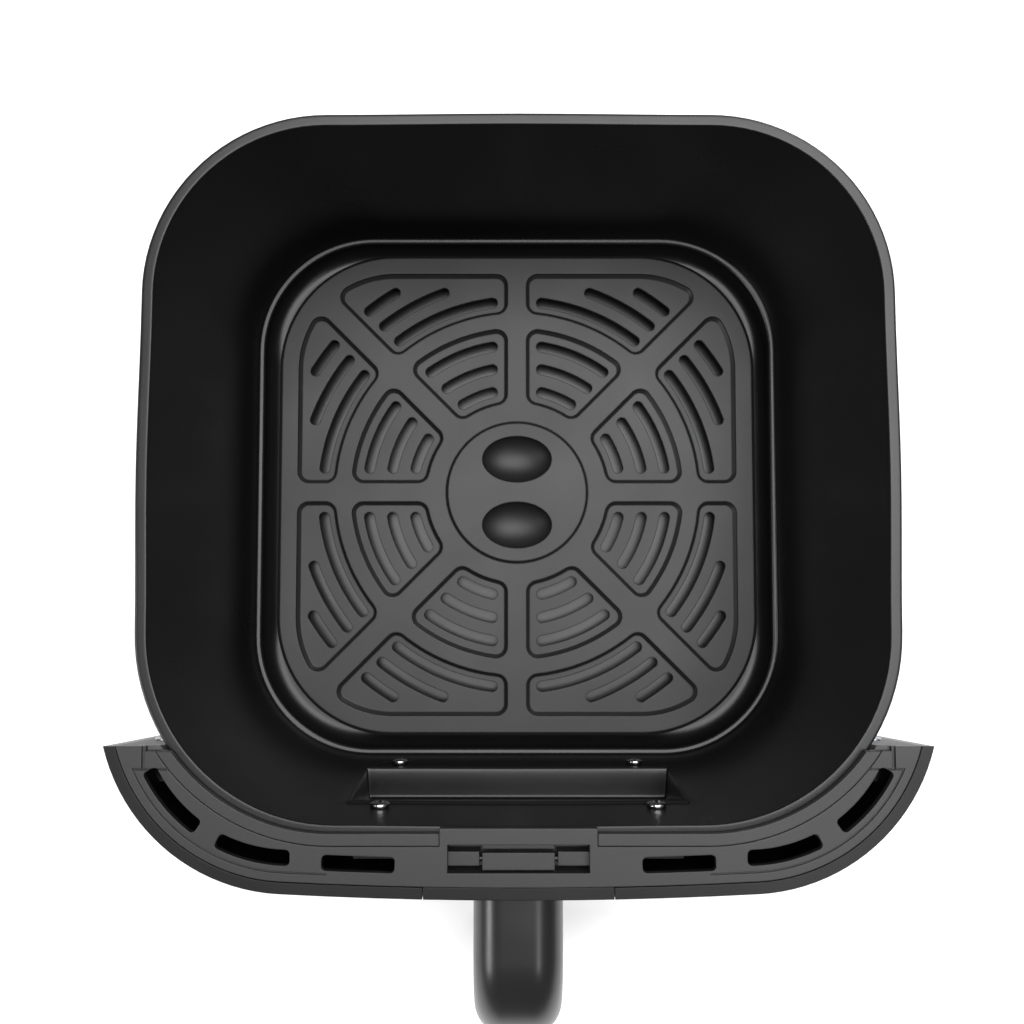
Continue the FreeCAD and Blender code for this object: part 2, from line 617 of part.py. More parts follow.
def vent_tools():
    """Three vents each side: one nearly straight, and two that bend round the corner."""
    x, y = corner_middle()
    reach, run = value("#front_corner - #bent_inset"), value("#bent_run")
    shapes = []
    for turn in (value("#slot_turn_near"), value("#slot_turn_far")):
        shapes.append(vent_shape(reach, -turn, run, Vector(x, y)))
        shapes.append(vent_shape(reach, turn - 180, run, Vector(-x, y)))
    big = value("#front_bow - #slot_inset")
    lean = math.degrees(value("@slot_x") / big)
    middle = Vector(0, value("#front_bow - @front_y"))
    for side in (1, -1):
        shapes.append(vent_shape(big, side * lean - 90, value("#slot_run"), middle))
    return tool("vent_slots", shapes)


def make_trim(name, trim):
    """A lip along the rim: a strip between the cover's inner edge and a line outside the rim."""
    level = f"@front_top - #trim_thick + ({trim})"
    outer = rounded_rectangle(name + "_out", level, *grown(RIM, f"#trim_wide - ({trim})"))
    inner = rounded_rectangle(name + "_in", level + " - 1", *grown(RIM, "-1 * #cover_overlap"))
    end = block(name + "_end", BACK, FAR, f"-1 * @tip_y - #trim_end - ({trim})", FAR, "0", FAR)
    across = f"#tongue_width / 2 + ({trim})"
    middle = block(name + "_middle", f"-1 * ({across})", across, BACK, "0", "0", FAR)
    return combine("Cut", name, raise_solid(outer, "#trim_thick + 1"), raise_solid(inner, "20"), end, middle)


def make_grooves():
    """Shadow lines of the cover: along the outside of the vents, across their end, and beside each cap."""
    level = "@front_top - #groove_deep"
    line_in = front_outline("groove_in", level + " - 1", "#groove_inset + #groove_wide")
    line = combine("Cut", "groove_line",
                   raise_solid(front_outline("groove_out", level, "#groove_inset"), "#groove_deep + 1"),
                   raise_solid(line_in, "9"),
                   block("groove_middle", "-1 * #groove_stop", "#groove_stop", BACK, "0", "0", FAR),
                   block("groove_end", BACK, FAR, "-1 * @cover_end_y", FAR, "0", FAR))
    inside = raise_solid(front_outline("cross_out", level, "#groove_inset"), "#groove_deep + 1")
    rim_side = raise_solid(rounded_rectangle("cross_in", level + " - 1", *grown(RIM, "#trim_wide - #seam")),
                           "9")
    start = "-1 * @cover_end_y - #groove_wide"
    cross = combine("MultiCommon", "cross_whole",
                    block("cross", BACK, FAR, start, "-1 * @cover_end_y", level, FAR), inside)
    grooves = [line, combine("Cut", "cross_line", cross, rim_side)]
    low = "@front_top - #cap_groove"
    for side, x in enumerate(("@cap_inner_x", "-1 * @cap_inner_x - #cap_groove")):
        grooves.append(block(f"cap_groove_{side}", x, f"({x}) + #cap_groove", start, "0", low, FAR))
    return grooves


def make_top_cover():
    """The strip that closes the front from above, with its vents, a tongue, a catch recess and end caps."""
    strip = raise_solid(front_outline("cover_out", COVER_UNDER, COVER_INSET), "#cover_thick")
    inner = rounded_rectangle("cover_in", COVER_UNDER + " - 1", *grown(RIM, "-1 * #cover_overlap"))
    end = block("cover_end", "-1 * @cap_inner_x", "@cap_inner_x", "-1 * @tip_y - #trim_end", FAR, "0", FAR)
    body = combine("Cut", "cover_strip", strip, raise_solid(inner, "#cover_thick + 2"), end,
                   behind_tips("cap_end"))
    tongue = block("tongue", "-1 * #tongue_width / 2", "#tongue_width / 2", "-1 * @catch_back - 2",
                   "-1 * @tongue_y", COVER_UNDER, "@front_top")
    recess = block("catch_room", "-1 * #catch_width / 2", "#catch_width / 2", "-1 * @catch_front",
                   "-1 * @catch_back", "@front_top - 10", "@front_top + 1")
    starts = [(x, y, "@post_high") for x, y in post_places()]
    bosses = bored("cover_boss", starts, "#small_screw + 2.1", "@front_top - @post_high - 1", "+Z")
    holes = bored("cover_hole", starts, "#small_screw + #hole_gap", "13", "+Z")
    whole = combine("MultiFuse", "cover_whole", body, tongue, *bosses)
    room = make_trim("trim_room", "0")
    tools = [recess, vent_tools(), room, *make_grooves(), *holes]
    keep(combine("Cut", "top_cover", whole, *tools), "top_cover")
    top = block("trim_top", BACK, FAR, BACK, FAR, "@front_top", FAR)
    keep(combine("Cut", "rim_lips", make_trim("trim", "#trim_seam"), top), "rim_lips")


def make_rear_cover():
    """The inner wall that follows the pan, with an end wall behind each wing."""
    band = raise_solid(rounded_rectangle("liner_out", "#front_low", *LINER_OUT), "@liner_high - #front_low")
    room = raise_solid(rounded_rectangle("liner_in", "0", *LINER_IN), "@liner_high")
    rim_room = raise_solid(rounded_rectangle("liner_rim_room", "@liner_high", *grown(RIM, "#seam")), "20")
    fill = raise_solid(front_outline("wing_fill", FLOOR_TOP, COVER_INSET),
                       "@front_top - #cover_thick - #seam - #front_low - #front_floor")
    wings = combine("MultiCommon", "wings", fill, behind_tips("wing_front", "#wing_wall"))
    window = block("window", "-1 * @window_half", "@window_half", BACK, "-50", "#window_low", "@window_high")
    seats = [(x, f"({y}) + 10", z) for x, y, z in wing_places()]
    holes = bored("wing_seat", seats, "#small_head + #hole_gap", "10")
    holes += bored("wing_bore", wing_places(), "#small_screw + #hole_gap", "10")
    whole = combine("MultiFuse", "liner_whole", band, wings)
    tools = [room, rim_room, behind_tips("liner_end"), window, *holes]
    return keep(combine("Cut", "rear_cover", whole, *tools), "rear_cover")


# ---------------------------------------------------------------- bracket
def wall_y(level, skin):
    """Depth of the pan's front wall at a height: 'skin' is 0 on its inside, #pan_wall outside."""
    fall = f"(@{level} - #well_height) / (#pan_height - #well_height)"
    return f"@foot_half_y + #wall_draft_front * {fall} + {skin}"


def pan_places(depth):
    return [(x, f"-1 * ({depth(f'screw_{level}')})", f"@screw_{level}")
            for x in both_sides("#screw_x") for level in SCREW_ROWS]


def make_bracket():
    """Steel plate in front of the pan, on four spacers that are screwed through the pan's wall."""
    plate = block("bracket_plate", "-1 * @bracket_half", "@bracket_half",
                  "-1 * @bracket_face - #bracket_thick", "-1 * @bracket_face",
                  "#bracket_low", "@bracket_high")
    spacers = []
    for count, (x, y, z) in enumerate(pan_places(lambda level: wall_y(level, "#pan_wall + #seal_thick"))):
        spacers.append(rod(f"spacer_{count}", "#boss_radius", f"@bracket_face + ({y}) + 0.5", x, y, z, "-Y"))
    back = [(x, "-100", z) for x, y, z in pan_places(lambda level: "0")]
    holes = bored("bracket_hole", back, "#screw_radius + #hole_gap", "50")
    fronts = plate_places("@shell_screw_x") + plate_places("#base_screw_x")
    starts = [(x, f"({y}) + 1", z) for x, y, z in fronts]
    holes += bored("plate_hole", starts, "#small_screw + #hole_gap", "5")
    whole = combine("MultiFuse", "bracket_whole", plate, *spacers)
    return keep(combine("Cut", "bracket", whole, *holes), "bracket")


def make_seals():
    """Four silicone washers, cut to the slope of the pan's wall."""
    rings = []
    for count, (x, y, z) in enumerate(pan_places(lambda level: wall_y(level, "#pan_wall + #seal_thick"))):
        disc = rod(f"seal_{count}_disc", "#boss_radius", "#seal_thick + 1", x, y, z, "+Y")
        hole = rod(f"seal_{count}_hole", "#screw_radius + #hole_gap", "#seal_thick + 3",
                   x, f"({y}) - 1", z, "+Y")
        rings.append(combine("Cut", f"seal_{count}", disc, doc.getObject("pan_outside"), hole))
    group = doc.addObject("Part::Compound", "pan_seals")
    group.Links = rings
    return keep(group, "pan_seals")


# ---------------------------------------------------------------- handle
def handle_path(name, start, low):
    """The handle's middle line seen from the side: forward, round a bend, and down."""
    grip = "-1 * @front_y - #handle_reach"
    y0, z0, y1, z1, r = value(start), value("@handle_z"), value(grip), value(low), value("#handle_bend")
    drawing = outline(name, "YZ", "0")
    drawing.addGeometry(Part.LineSegment(Vector(y0, z0), Vector(y1 + r, z0)))
    bend = Part.Circle(Vector(y1 + r, z0 - r), Vector(0, 0, 1), r)
    drawing.addGeometry(Part.ArcOfCircle(bend, math.pi / 2, math.pi))
    drawing.addGeometry(Part.LineSegment(Vector(y1, z0 - r), Vector(y1, z1)))
    tie(drawing, "Tangent", 0, 2, 1, 1)
    tie(drawing, "Tangent", 1, 2, 2, 1)
    tie(drawing, "Horizontal", 0)
    tie(drawing, "Vertical", 2)
    bind(drawing, "Radius", 1, "#handle_bend")
    bind(drawing, "DistanceX", -1, 1, 0, 1, start)
    bind(drawing, "DistanceY", -1, 1, 0, 1, "@handle_z")
    bind(drawing, "DistanceX", -1, 1, 2, 2, grip)
    bind(drawing, "DistanceY", -1, 1, 2, 2, low)
    return drawing


def sweep(name, profile, path):
    solid = doc.addObject("Part::Sweep", name)
    solid.Sections = [profile]
    solid.Spine = (path, ["Edge1", "Edge2", "Edge3"])
    solid.Solid = True
    return solid


HANDLE_SECTION = ("#handle_width / 2", "#handle_deep / 2", "#handle_round")
ARM_START = "-1 * @front_y - 0.1"
GRIP_Y = "-1 * @front_y - #handle_reach"


def handle_section(name, less):
    half_x, half_z, round_by = (f"{size} - {less}" for size in HANDLE_SECTION)
    return rounded_rectangle(name, "@front_y + 0.1", half_x, half_z, round_by, None, "XZ", "@handle_z")


def handle_screw_places():
    return [("0", f"{GRIP_Y} + #handle_deep / 2 - 3", f"#handle_low + {share} * @grip_high")
            for share in ("#grip_screw_low", "#grip_screw_high")]


def make_handle():
    """Two shells split along the middle line, clamped on a steel core, and an end cap."""
    path = handle_path("handle_line", ARM_START, "#handle_low")
    outer = sweep("handle_outer", handle_section("handle_profile", "0"), path)
    inner = sweep("handle_inner", handle_section("handle_hollow", "#handle_wall"), path)
    half = box_outline("handle_half", "XZ", "@front_y + 0.1", "-1 * #handle_width", "#handle_width",
                       "@handle_z", "@handle_z + #handle_deep")
    upper = sweep("handle_upper_room", half, path)
    walls = combine("Cut", "handle_walls", outer, inner)
    places = handle_screw_places()
    core_front = f"{GRIP_Y} - #core_thick / 2"
    middle = [("0", f"{GRIP_Y} + #handle_deep / 2 - 1", z) for x, y, z in places]
    rear = bored("grip_rear_boss", middle, "#shell_boss", "#handle_deep / 2 - #core_thick / 2 - 1")
    front = bored("grip_front_boss", [("0", core_front, z) for x, y, z in places], "#shell_boss",
                  "#handle_deep / 2 - #core_thick / 2 - 1")
    way = [("0", f"{GRIP_Y} + #handle_deep / 2 + 1", z) for x, y, z in places]
    heads = bored("grip_head_way", way, "#small_head + #hole_gap", "4")
    shanks = bored("grip_screw_way", way, "#small_screw + #hole_gap", "#handle_deep - 1")
    lower_walls = combine("Cut", "handle_lower_walls", walls, upper)
    lower = combine("MultiFuse", "handle_lower_whole", lower_walls, *rear)
    keep(combine("Cut", "handle_inner_shell", lower, *heads, *shanks), "handle_inner_shell")
    upper_walls = combine("MultiCommon", "handle_upper_walls", walls, upper)
    top = combine("MultiFuse", "handle_upper_whole", upper_walls, *front)
    keep(combine("Cut", "handle_outer_shell", top, *shanks), "handle_outer_shell")
    screws("handle_screws", places, *SMALL, "16", "-Y")
    make_handle_core(shanks)
    plate = rounded_rectangle("cap_plate", "#handle_low - #handle_cap", *HANDLE_SECTION,
                              None, "XY", GRIP_Y)
    plug = rounded_rectangle("cap_plug", "#handle_low - 1", "#handle_width / 2 - #handle_wall - #seam",
                             "#handle_deep / 2 - #handle_wall - #seam",
                             "#handle_round - #handle_wall", None, "XY", GRIP_Y)
    keep(combine("MultiFuse", "handle_end_cap", raise_solid(plate, "#handle_cap"), raise_solid(plug, "4")),
         "handle_end_cap")


def make_handle_core(shanks):
    """A steel strap bent like the handle, on a tab that is screwed to the bracket."""
    start = "-1 * @bracket_face - #bracket_thick - 1"
    profile = box_outline("core_profile", "XZ", "@bracket_face + #bracket_thick + 1", "-1 * #core_width / 2",
                          "#core_width / 2", "@handle_z - #core_thick / 2", "@handle_z + #core_thick / 2")
    strap = sweep("core_strap", profile, handle_path("core_line", start, "#handle_low + 8"))
    tab = block("core_plate", "-1 * #base_screw_x - 5", "#base_screw_x + 5",
                "-1 * @bracket_face - #bracket_thick - #core_tab", "-1 * @bracket_face - #bracket_thick",
                "@base_screw_high - 6", "@handle_z + #core_thick / 2")
    starts = [(x, f"({y}) + 1", z) for x, y, z in plate_places("#base_screw_x")]
    holes = bored("core_hole", starts, "#small_screw + #hole_gap", "12")
    whole = combine("MultiFuse", "core_whole", strap, tab)
    keep(combine("Cut", "handle_core", whole, *shanks, *holes), "handle_core")


def front_layer(name, outer, inner):
    """A full-height layer of the front between two insets."""
    whole = raise_solid(front_outline(name + "_out", "0", outer), "@front_top")
    space = raise_solid(front_outline(name + "_in", "-1", inner), "@front_top + 2")
    return combine("Cut", name, whole, space)


def make_handle_base():
    """The middle piece of the front, flush with the shell, with a flange behind its edges."""
    skin = front_layer("base_skin", "0", "#front_wall + 0.2")
    room = block("base_room", "-1 * #insert_width / 2", "#insert_width / 2", BACK, "-100", "@insert_low",
                 "@front_top")
    face = combine("MultiCommon", "base_face", skin, room)
    back = front_layer("base_back", "#front_wall + 0.1", "#front_wall + 0.1 + @flange_thick")
    reach = "#insert_width / 2 + #insert_flange"
    behind = block("flange_room", f"-1 * ({reach})", reach, BACK, "-100", "@insert_low - #insert_flange",
                   "@catch_floor - 1")
    flange = combine("MultiCommon", "base_flange", back, behind)
    bosses = []
    for row, tab in (("low", "0"), ("high", "#core_tab")):
        start = f"@bracket_face + #bracket_thick + {tab}"
        for side, x in enumerate(both_sides("#base_screw_x")):
            bosses.append(rod(f"base_boss_{side}_{row}", "#shell_boss", f"@front_y - 2 - ({start})", x,
                              f"-1 * ({start})", f"@base_screw_{row}", "-Y"))
    window = block("core_window", "-1 * #core_width / 2 - #seam", "#core_width / 2 + #seam", BACK, "-100",
                   "@handle_z - #core_thick / 2 - #seam", "@handle_z + #core_thick / 2 + #seam")
    starts = [(x, f"({y}) + 1", z) for x, y, z in plate_places("#base_screw_x")]
    holes = bored("base_hole", starts, "#small_screw + #hole_gap", "10")
    whole = combine("MultiFuse", "base_whole", face, flange, *bosses)
    return keep(combine("Cut", "handle_base", whole, window, *holes), "handle_base")


# ---------------------------------------------------------------- catch
def make_catch():
    """A tray under the recess in the cover, and a small sprung lever on a pin across it."""
    tray_out = block("tray_out", "-1 * #catch_width / 2 - #tray_wall", "#catch_width / 2 + #tray_wall",
                     "-1 * @catch_front - #tray_wall", "-1 * @tray_back",
                     "@catch_floor", COVER_UNDER)
    room = block("tray_room", "-1 * #catch_width / 2", "#catch_width / 2", "-1 * @catch_front",
                 "-1 * @tray_back - 0.8", "@catch_floor + #tray_wall", "@front_top")
    inside = "#lever_width / 2 + 1.1"
    cheeks = []
    spans = (("-1 * #catch_width / 2", f"-1 * ({inside})"), (inside, "#catch_width / 2"))
    for side, (left, right) in enumerate(spans):
        cheeks.append(block(f"cheek_{side}", left, right, "-1 * @pin_y - 1.8", "-1 * @lever_back",
                            "@catch_floor", "@front_top - 3"))
    shelf = block("tray_shelf", "-1 * #lever_width / 2", "#lever_width / 2", "-1 * @lever_back + 0.5",
                  "-1 * @tray_back - 0.4", "@catch_floor", "@pin_z + 1")
    bore = rod("tray_bore", "#pin_radius + 0.02", "2 * #pin_half", "-1 * #pin_half",
               "-1 * @pin_y", "@pin_z", "+X")
    tray = combine("MultiFuse", "tray_whole", combine("Cut", "tray_shell", tray_out, room), *cheeks, shelf)
    keep(combine("Cut", "catch_tray", tray, bore), "catch_tray")
    keep(rod("catch_pin", "#pin_radius", "2 * #pin_half", "-1 * #pin_half", "-1 * @pin_y", "@pin_z", "+X"),
         "catch_pin")
    plate = block("lever_plate", "-1 * #lever_width / 2", "#lever_width / 2", "-1 * @catch_front + 0.6",
                  "-1 * @lever_back", "@lever_top - #lever_thick", "@lever_top")
    knuckle = "#lever_width / 2 - 5"
    knuckles = []
    for side, start in enumerate(("-1 * #lever_width / 2", "5")):
        knuckles.append(rod(f"knuckle_{side}", "#pin_radius + 1.1", knuckle, start,
                            "-1 * @pin_y", "@pin_z", "+X"))
        end = f"{start} + {knuckle}"
        knuckles.append(block(f"web_{side}", start, end, "-1 * @pin_y - 1", "-1 * @pin_y + 1", "@pin_z",
                              "@lever_top - 1"))
    hole = rod("lever_bore", "#pin_radius + #pin_gap", "60", "-30", "-1 * @pin_y", "@pin_z", "+X")
    lever = combine("MultiFuse", "lever_whole", plate, *knuckles)
    keep(combine("Cut", "catch_lever", lever, hole), "catch_lever")
    coil = rod("spring_out", "#pin_radius + 0.9", "8", "-4", "-1 * @pin_y", "@pin_z", "+X")
    way = rod("spring_in", "#pin_radius + 0.1", "10", "-5", "-1 * @pin_y", "@pin_z", "+X")
    legs = [rod("spring_leg_up", "0.4", "@lever_top - #lever_thick - @pin_z",
                "-3", "-1 * @pin_y - 1.5", "@pin_z"),
            rod("spring_leg_down", "0.4", "@pin_z - @catch_floor - #tray_wall", "3", "-1 * @pin_y + 1.5",
                "@catch_floor + #tray_wall")]
    wound = combine("MultiFuse", "spring_whole", coil, *legs)
    keep(combine("Cut", "catch_spring", wound, way), "catch_spring")


# ---------------------------------------------------------------- grille
def flat_rounded(half_x, half_y, radius):
    """A face with four straight sides and four round corners."""
    face = Part.makePlane(2 * half_x, 2 * half_y, Vector(-half_x, -half_y))
    solid = face.extrude(Vector(0, 0, 1))
    upright = [edge for edge in solid.Edges if abs(edge.tangentAt(edge.FirstParameter).z) > 0.9]
    rounded = solid.makeFillet(radius, upright)
    return min(rounded.Faces, key=lambda item: item.CenterOfMass.z)


def sector(turn, flip):
    """The ground between an axis rib and a diagonal rib: one eighth of the plate."""
    side, slant = value("#axis_rib / 2"), value("#diagonal_rib / 2") * math.sqrt(2)
    far = 300.0
    near = Vector(side, side + slant)
    corners = [near, Vector(far - slant, far), Vector(side, far), near]
    if flip:
        corners = [Vector(-p.x, p.y) for p in reversed(corners)]
    face = Part.Face(Part.makePolygon(corners))
    face.rotate(Vector(), Vector(0, 0, 1), turn)
    return face


def disc_face(radius):
    return Part.Face(Part.Wire(Part.makeCircle(radius)))


def soften(face, radius):
    """Round a face's outward corners by drawing it in and letting it out again."""
    return face.makeOffset2D(-radius).makeOffset2D(radius)


GRILLE = ("@grille_half_x", "@grille_half_y", "#grille_corner")


def panel_tools():
    """Sixteen shallow slotted panels: an inner and an outer one in each eighth."""
    deep, top, r = value("#panel_deep"), value("#grille_top"), value("#panel_corner")
    rim, slope = value("#frame_wide"), value("#panel_slope")
    plate = flat_rounded(value("@grille_half_x") - rim, value("@grille_half_y") - rim,
                         value("#grille_corner") - rim)
    ring = disc_face(value("#ring_inner")).cut(disc_face(value("#hub_panel")))
    outer = plate.cut(disc_face(value("#ring_outer")))
    shapes = []
    for turn in (0, 90, 180, 270):
        for flip in (False, True):
            piece = sector(turn, flip)
            for ground in (ring, outer):
                face = soften(ground.common(piece).Faces[0], r)
                solid = face.extrude(Vector(0, 0, deep + 5))
                foot = [edge for edge in solid.Edges if edge.BoundBox.ZMax < deep / 2]
                solid = solid.makeChamfer(slope, foot)
                solid.translate(Vector(0, 0, top - deep))
                shapes.append(solid)
    return tool("grille_panels", shapes)


def arc_tools():
    """Three arc slots in each panel. The outer ones stop short of the frame."""
    margin, limit, width = value("#arc_margin"), value("@arc_limit"), value("#arc_slot")
    low, high = value("#grille_top - #grille_thick - 1"), value("#grille_top + 1")
    shapes = []
    radii = [value(f"#{ring}_arc + {count} * #{ring}_pitch")
             for ring in ("inner", "outer") for count in range(3)]
    for radius in radii:
        inset = math.degrees(math.asin(margin / radius))
        near = max(inset, math.degrees(math.acos(min(1.0, limit / radius))))
        far = 45 - inset
        for turn in (0, 90, 180, 270):
            shapes.append(slot_shape(radius, turn + near, turn + far, width, low, high))
            shapes.append(slot_shape(radius, turn - far, turn - near, width, low, high))
    return tool("grille_slots", shapes)


def make_grille():
    """Cast plate with raised ribs, slotted panels, and two finger cups in a raised disc."""
    bottom = "#grille_top - #grille_thick"
    edge_low = "#grille_top - #edge_slope"
    low = raise_solid(rounded_rectangle("grille_out", bottom, *GRILLE), "#grille_thick - #edge_slope")
    high = loft("grille_edge", rounded_rectangle("edge_low", edge_low, *GRILLE),
                rounded_rectangle("edge_high", "#grille_top", *grown(GRILLE, "-1 * #edge_slope")))
    disc_top = "#grille_top + #disc_rise"
    under = f"{disc_top} - #cup_deep - #cup_floor"
    disc = doc.addObject("Part::Cone", "grille_disc")
    disc.setExpression("Radius1", named("#disc_radius + #grille_thick"))
    disc.setExpression("Radius2", named("#disc_radius - #disc_rise"))
    disc.setExpression("Height", named("#grille_thick + #disc_rise"))
    place(disc, "0", "0", bottom)
    hub = rod("grille_hub", "#disc_radius - 3", f"{bottom} - ({under}) + 1", "0", "0", under)
    cups = []
    for side, y in enumerate(both_sides("#cup_y")):
        cup = doc.addObject("Part::Ellipsoid", f"cup_{side}")
        cup.setExpression("Radius1", named("#cup_deep"))
        cup.setExpression("Radius2", named("#cup_length / 2"))
        cup.setExpression("Radius3", named("#cup_width / 2"))
        cups.append(place(cup, "0", y, disc_top))
    ground = combine("Cut", "grille_ground", combine("MultiFuse", "grille_blank", low, high), panel_tools())
    whole = combine("MultiFuse", "grille_whole", ground, disc, hub)
    keep(combine("Cut", "crisper_plate", whole, arc_tools(), *cups), "crisper_plate")
    names = {"front_left": (-1, -1), "front_right": (1, -1), "back_left": (-1, 1), "back_right": (1, 1)}
    for name, (x, y) in names.items():
        foot = rod(f"foot_{name}", "#foot_radius", f"{bottom} - #pan_wall",
                   f"{x} * (@grille_half_x - #foot_in)", f"{y} * (@grille_half_y - #foot_in)", "#pan_wall")
        keep(foot, f"crisper_foot_{name}")


# ---------------------------------------------------------------- the whole drawer
LARGE = ("#screw_radius", "#screw_head", "#screw_head_high")
SMALL = ("#small_screw", "#small_head", "#small_head_high")

make_pan()
make_front_shell()
make_handle_base()
make_top_cover()
make_rear_cover()
make_bracket()
make_seals()
make_handle()
make_catch()
make_grille()

screws("pan_screws", pan_places(lambda level: f"{wall_y(level, '0')} - #head_sunk"), *LARGE, "15", "-Y")
screws("base_screws", plate_places("#base_screw_x"), *SMALL, "8", "-Y")
screws("shell_screws", plate_places("@shell_screw_x"), *SMALL, "8", "-Y")
screws("rear_cover_screws", wing_places(), *SMALL, "12", "-Y")
screws("cover_screws", [(x, y, "@post_high - 3") for x, y in post_places()], *SMALL, "15", "+Z")

doc.recompute()
failed = [thing.Name for thing in doc.Objects if {"Invalid", "Error"} & set(thing.State)]
if failed:
    raise RuntimeError(f"objects that did not build: {failed}")
for node in nodes:
    if node.Shape.isNull() or not node.Shape.isValid():
        raise RuntimeError(f"{node.Label} has no valid shape")

os.makedirs("parts", exist_ok=True)
for node in nodes:
    node.Shape.exportStep(f"parts/{node.Label}.step")
    box = node.Shape.BoundBox
    spans = ((box.XMin, box.XMax), (box.YMin, box.YMax), (box.ZMin, box.ZMax))
    print(f"{node.Label:26s} {len(node.Shape.Solids)} solids {node.Shape.Volume / 1000:8.2f} cm3",
          *(f"{low:8.1f}..{high:6.1f}" for low, high in spans))
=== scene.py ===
# %% [markdown]
# An air fryer's drawer, seen from above: a coated steel pan, the cast grille that lies in it, and a
# curved plastic front with vents, a catch and a handle. The measured parts come in as a fixed frame.
# Each step below says what a piece or a finish is on the real object, and how it is made here.

# %% Load the measured frame
import json
import math

import bmesh
import bpy
import numpy as np
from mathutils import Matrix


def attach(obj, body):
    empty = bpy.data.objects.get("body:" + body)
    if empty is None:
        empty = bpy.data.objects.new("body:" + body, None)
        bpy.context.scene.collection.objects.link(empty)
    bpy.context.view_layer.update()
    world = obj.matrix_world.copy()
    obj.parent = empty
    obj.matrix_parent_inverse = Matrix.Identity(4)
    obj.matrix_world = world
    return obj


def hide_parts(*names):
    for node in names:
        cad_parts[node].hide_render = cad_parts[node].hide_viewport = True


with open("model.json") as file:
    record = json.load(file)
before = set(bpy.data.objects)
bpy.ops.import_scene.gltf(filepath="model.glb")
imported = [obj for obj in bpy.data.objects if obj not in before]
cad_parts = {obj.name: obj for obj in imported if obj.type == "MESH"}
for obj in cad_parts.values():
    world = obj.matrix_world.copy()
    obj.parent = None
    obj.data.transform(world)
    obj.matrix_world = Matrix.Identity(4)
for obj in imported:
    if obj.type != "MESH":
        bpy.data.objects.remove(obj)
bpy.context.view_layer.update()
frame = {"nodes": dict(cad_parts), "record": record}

MM = 0.001
nodes = frame["nodes"]

# %% [markdown]
# The drawer stands on a white table and is looked at from straight above, as in a catalogue. The
# camera is close, so the pan's walls spread outwards, and it leans forward by a few degrees. One
# wide softbox hangs over it, and a smaller one stands behind it on the right. Two narrow ones, left
# and front right, draw lines along rounded edges, and the white room fills the rest.

# %% Camera, light and table
def softbox(name, place, turn, width, depth, radiance):
    """An area light of that brightness. Its power is radiance times its area times pi."""
    light = bpy.data.lights.new(name, "AREA")
    light.shape = "RECTANGLE"
    light.size, light.size_y = width, depth
    light.energy = radiance * width * depth * math.pi
    holder = bpy.data.objects.new(name, light)
    holder.location = place
    holder.rotation_euler = [math.radians(a) for a in turn]
    holder.visible_camera = False
    bpy.context.scene.collection.objects.link(holder)


camera = bpy.data.objects.new("camera", bpy.data.cameras.new("camera"))
camera.location = (-2.15 * MM, -34.2 * MM, 457 * MM)
camera.rotation_euler = (math.radians(3.3), 0, 0)
camera.data.lens, camera.data.sensor_width = 36.35, 36
bpy.context.scene.collection.objects.link(camera)
bpy.context.scene.camera = camera

softbox("over", (0.22, 0.30, 1.4), (0, 0, 0), 1.35, 1.2, 5.8)
softbox("key", (0.75, 1.15, 0.9), (-50, 30, 0), 0.6, 0.5, 6.0)
softbox("left", (-1.15, -0.5, 0.85), (0, -58, 0), 0.35, 0.9, 10.0)
softbox("right", (0.55, -0.72, 1.4), (0, 20, 0), 0.2, 0.5, 7.0)

world = bpy.data.worlds.new("white room")
world.use_nodes = True
world.node_tree.nodes["Background"].inputs["Color"].default_value = (1, 1, 1, 1)
world.node_tree.nodes["Background"].inputs["Strength"].default_value = 0.22
bpy.context.scene.world = world
bpy.context.scene.view_settings.view_transform = "Standard"
print("camera", round(camera.location.z / MM), "mm above the table, four softboxes and a white room")


# %% [markdown]
# Colours are written as the hex codes a paint chart gives, and one function turns them into the
# linear numbers that Blender's shaders want. One small function adds a node with its settings and
# its links.

# %% Colour and node helpers
BEVEL_SAMPLES = 4


def paint(code):
    """sRGB hex to linear: each channel c is c/12.92 below 0.04045, else ((c+0.055)/1.055)^2.4."""
    c = np.array([int(code[i:i + 2], 16) / 255 for i in (1, 3, 5)])
    return (*np.where(c <= 0.04045, c / 12.92, ((c + 0.055) / 1.055) ** 2.4), 1.0)


def add(tree, kind, inputs=None, **settings):
    """Add a node. An input given as a socket is linked, and any other value is set."""
    node = tree.nodes.new(kind)
    for key, setting in settings.items():
        setattr(node, key, setting)
    for key, given in (inputs or {}).items():
        if isinstance(given, bpy.types.NodeSocket):
            tree.links.new(given, node.inputs[key])
        else:
            node.inputs[key].default_value = given
    return node


def per(size_mm):
    """The texture scale whose features are about that many millimetres apart."""
    return 1 / (size_mm * MM)


def new_material(name, edge_mm=0.2):
    """A material, its tree, its shader, object coordinates, and normals turned to round the edges."""
    material = bpy.data.materials.new(name)
    material.use_nodes = True
    tree = material.node_tree
    shader = tree.nodes["Principled BSDF"]
    place = add(tree, "ShaderNodeTexCoord").outputs["Object"]
    edge = add(tree, "ShaderNodeBevel", {"Radius": edge_mm * MM}, samples=BEVEL_SAMPLES).outputs["Normal"]
    return material, tree, shader, place, edge


print("the front's black is", [round(float(c), 4) for c in paint("#111112")[:3]], "in linear numbers")


# %% [markdown]
# The table is plain white paper. A little grain keeps it from looking computed.

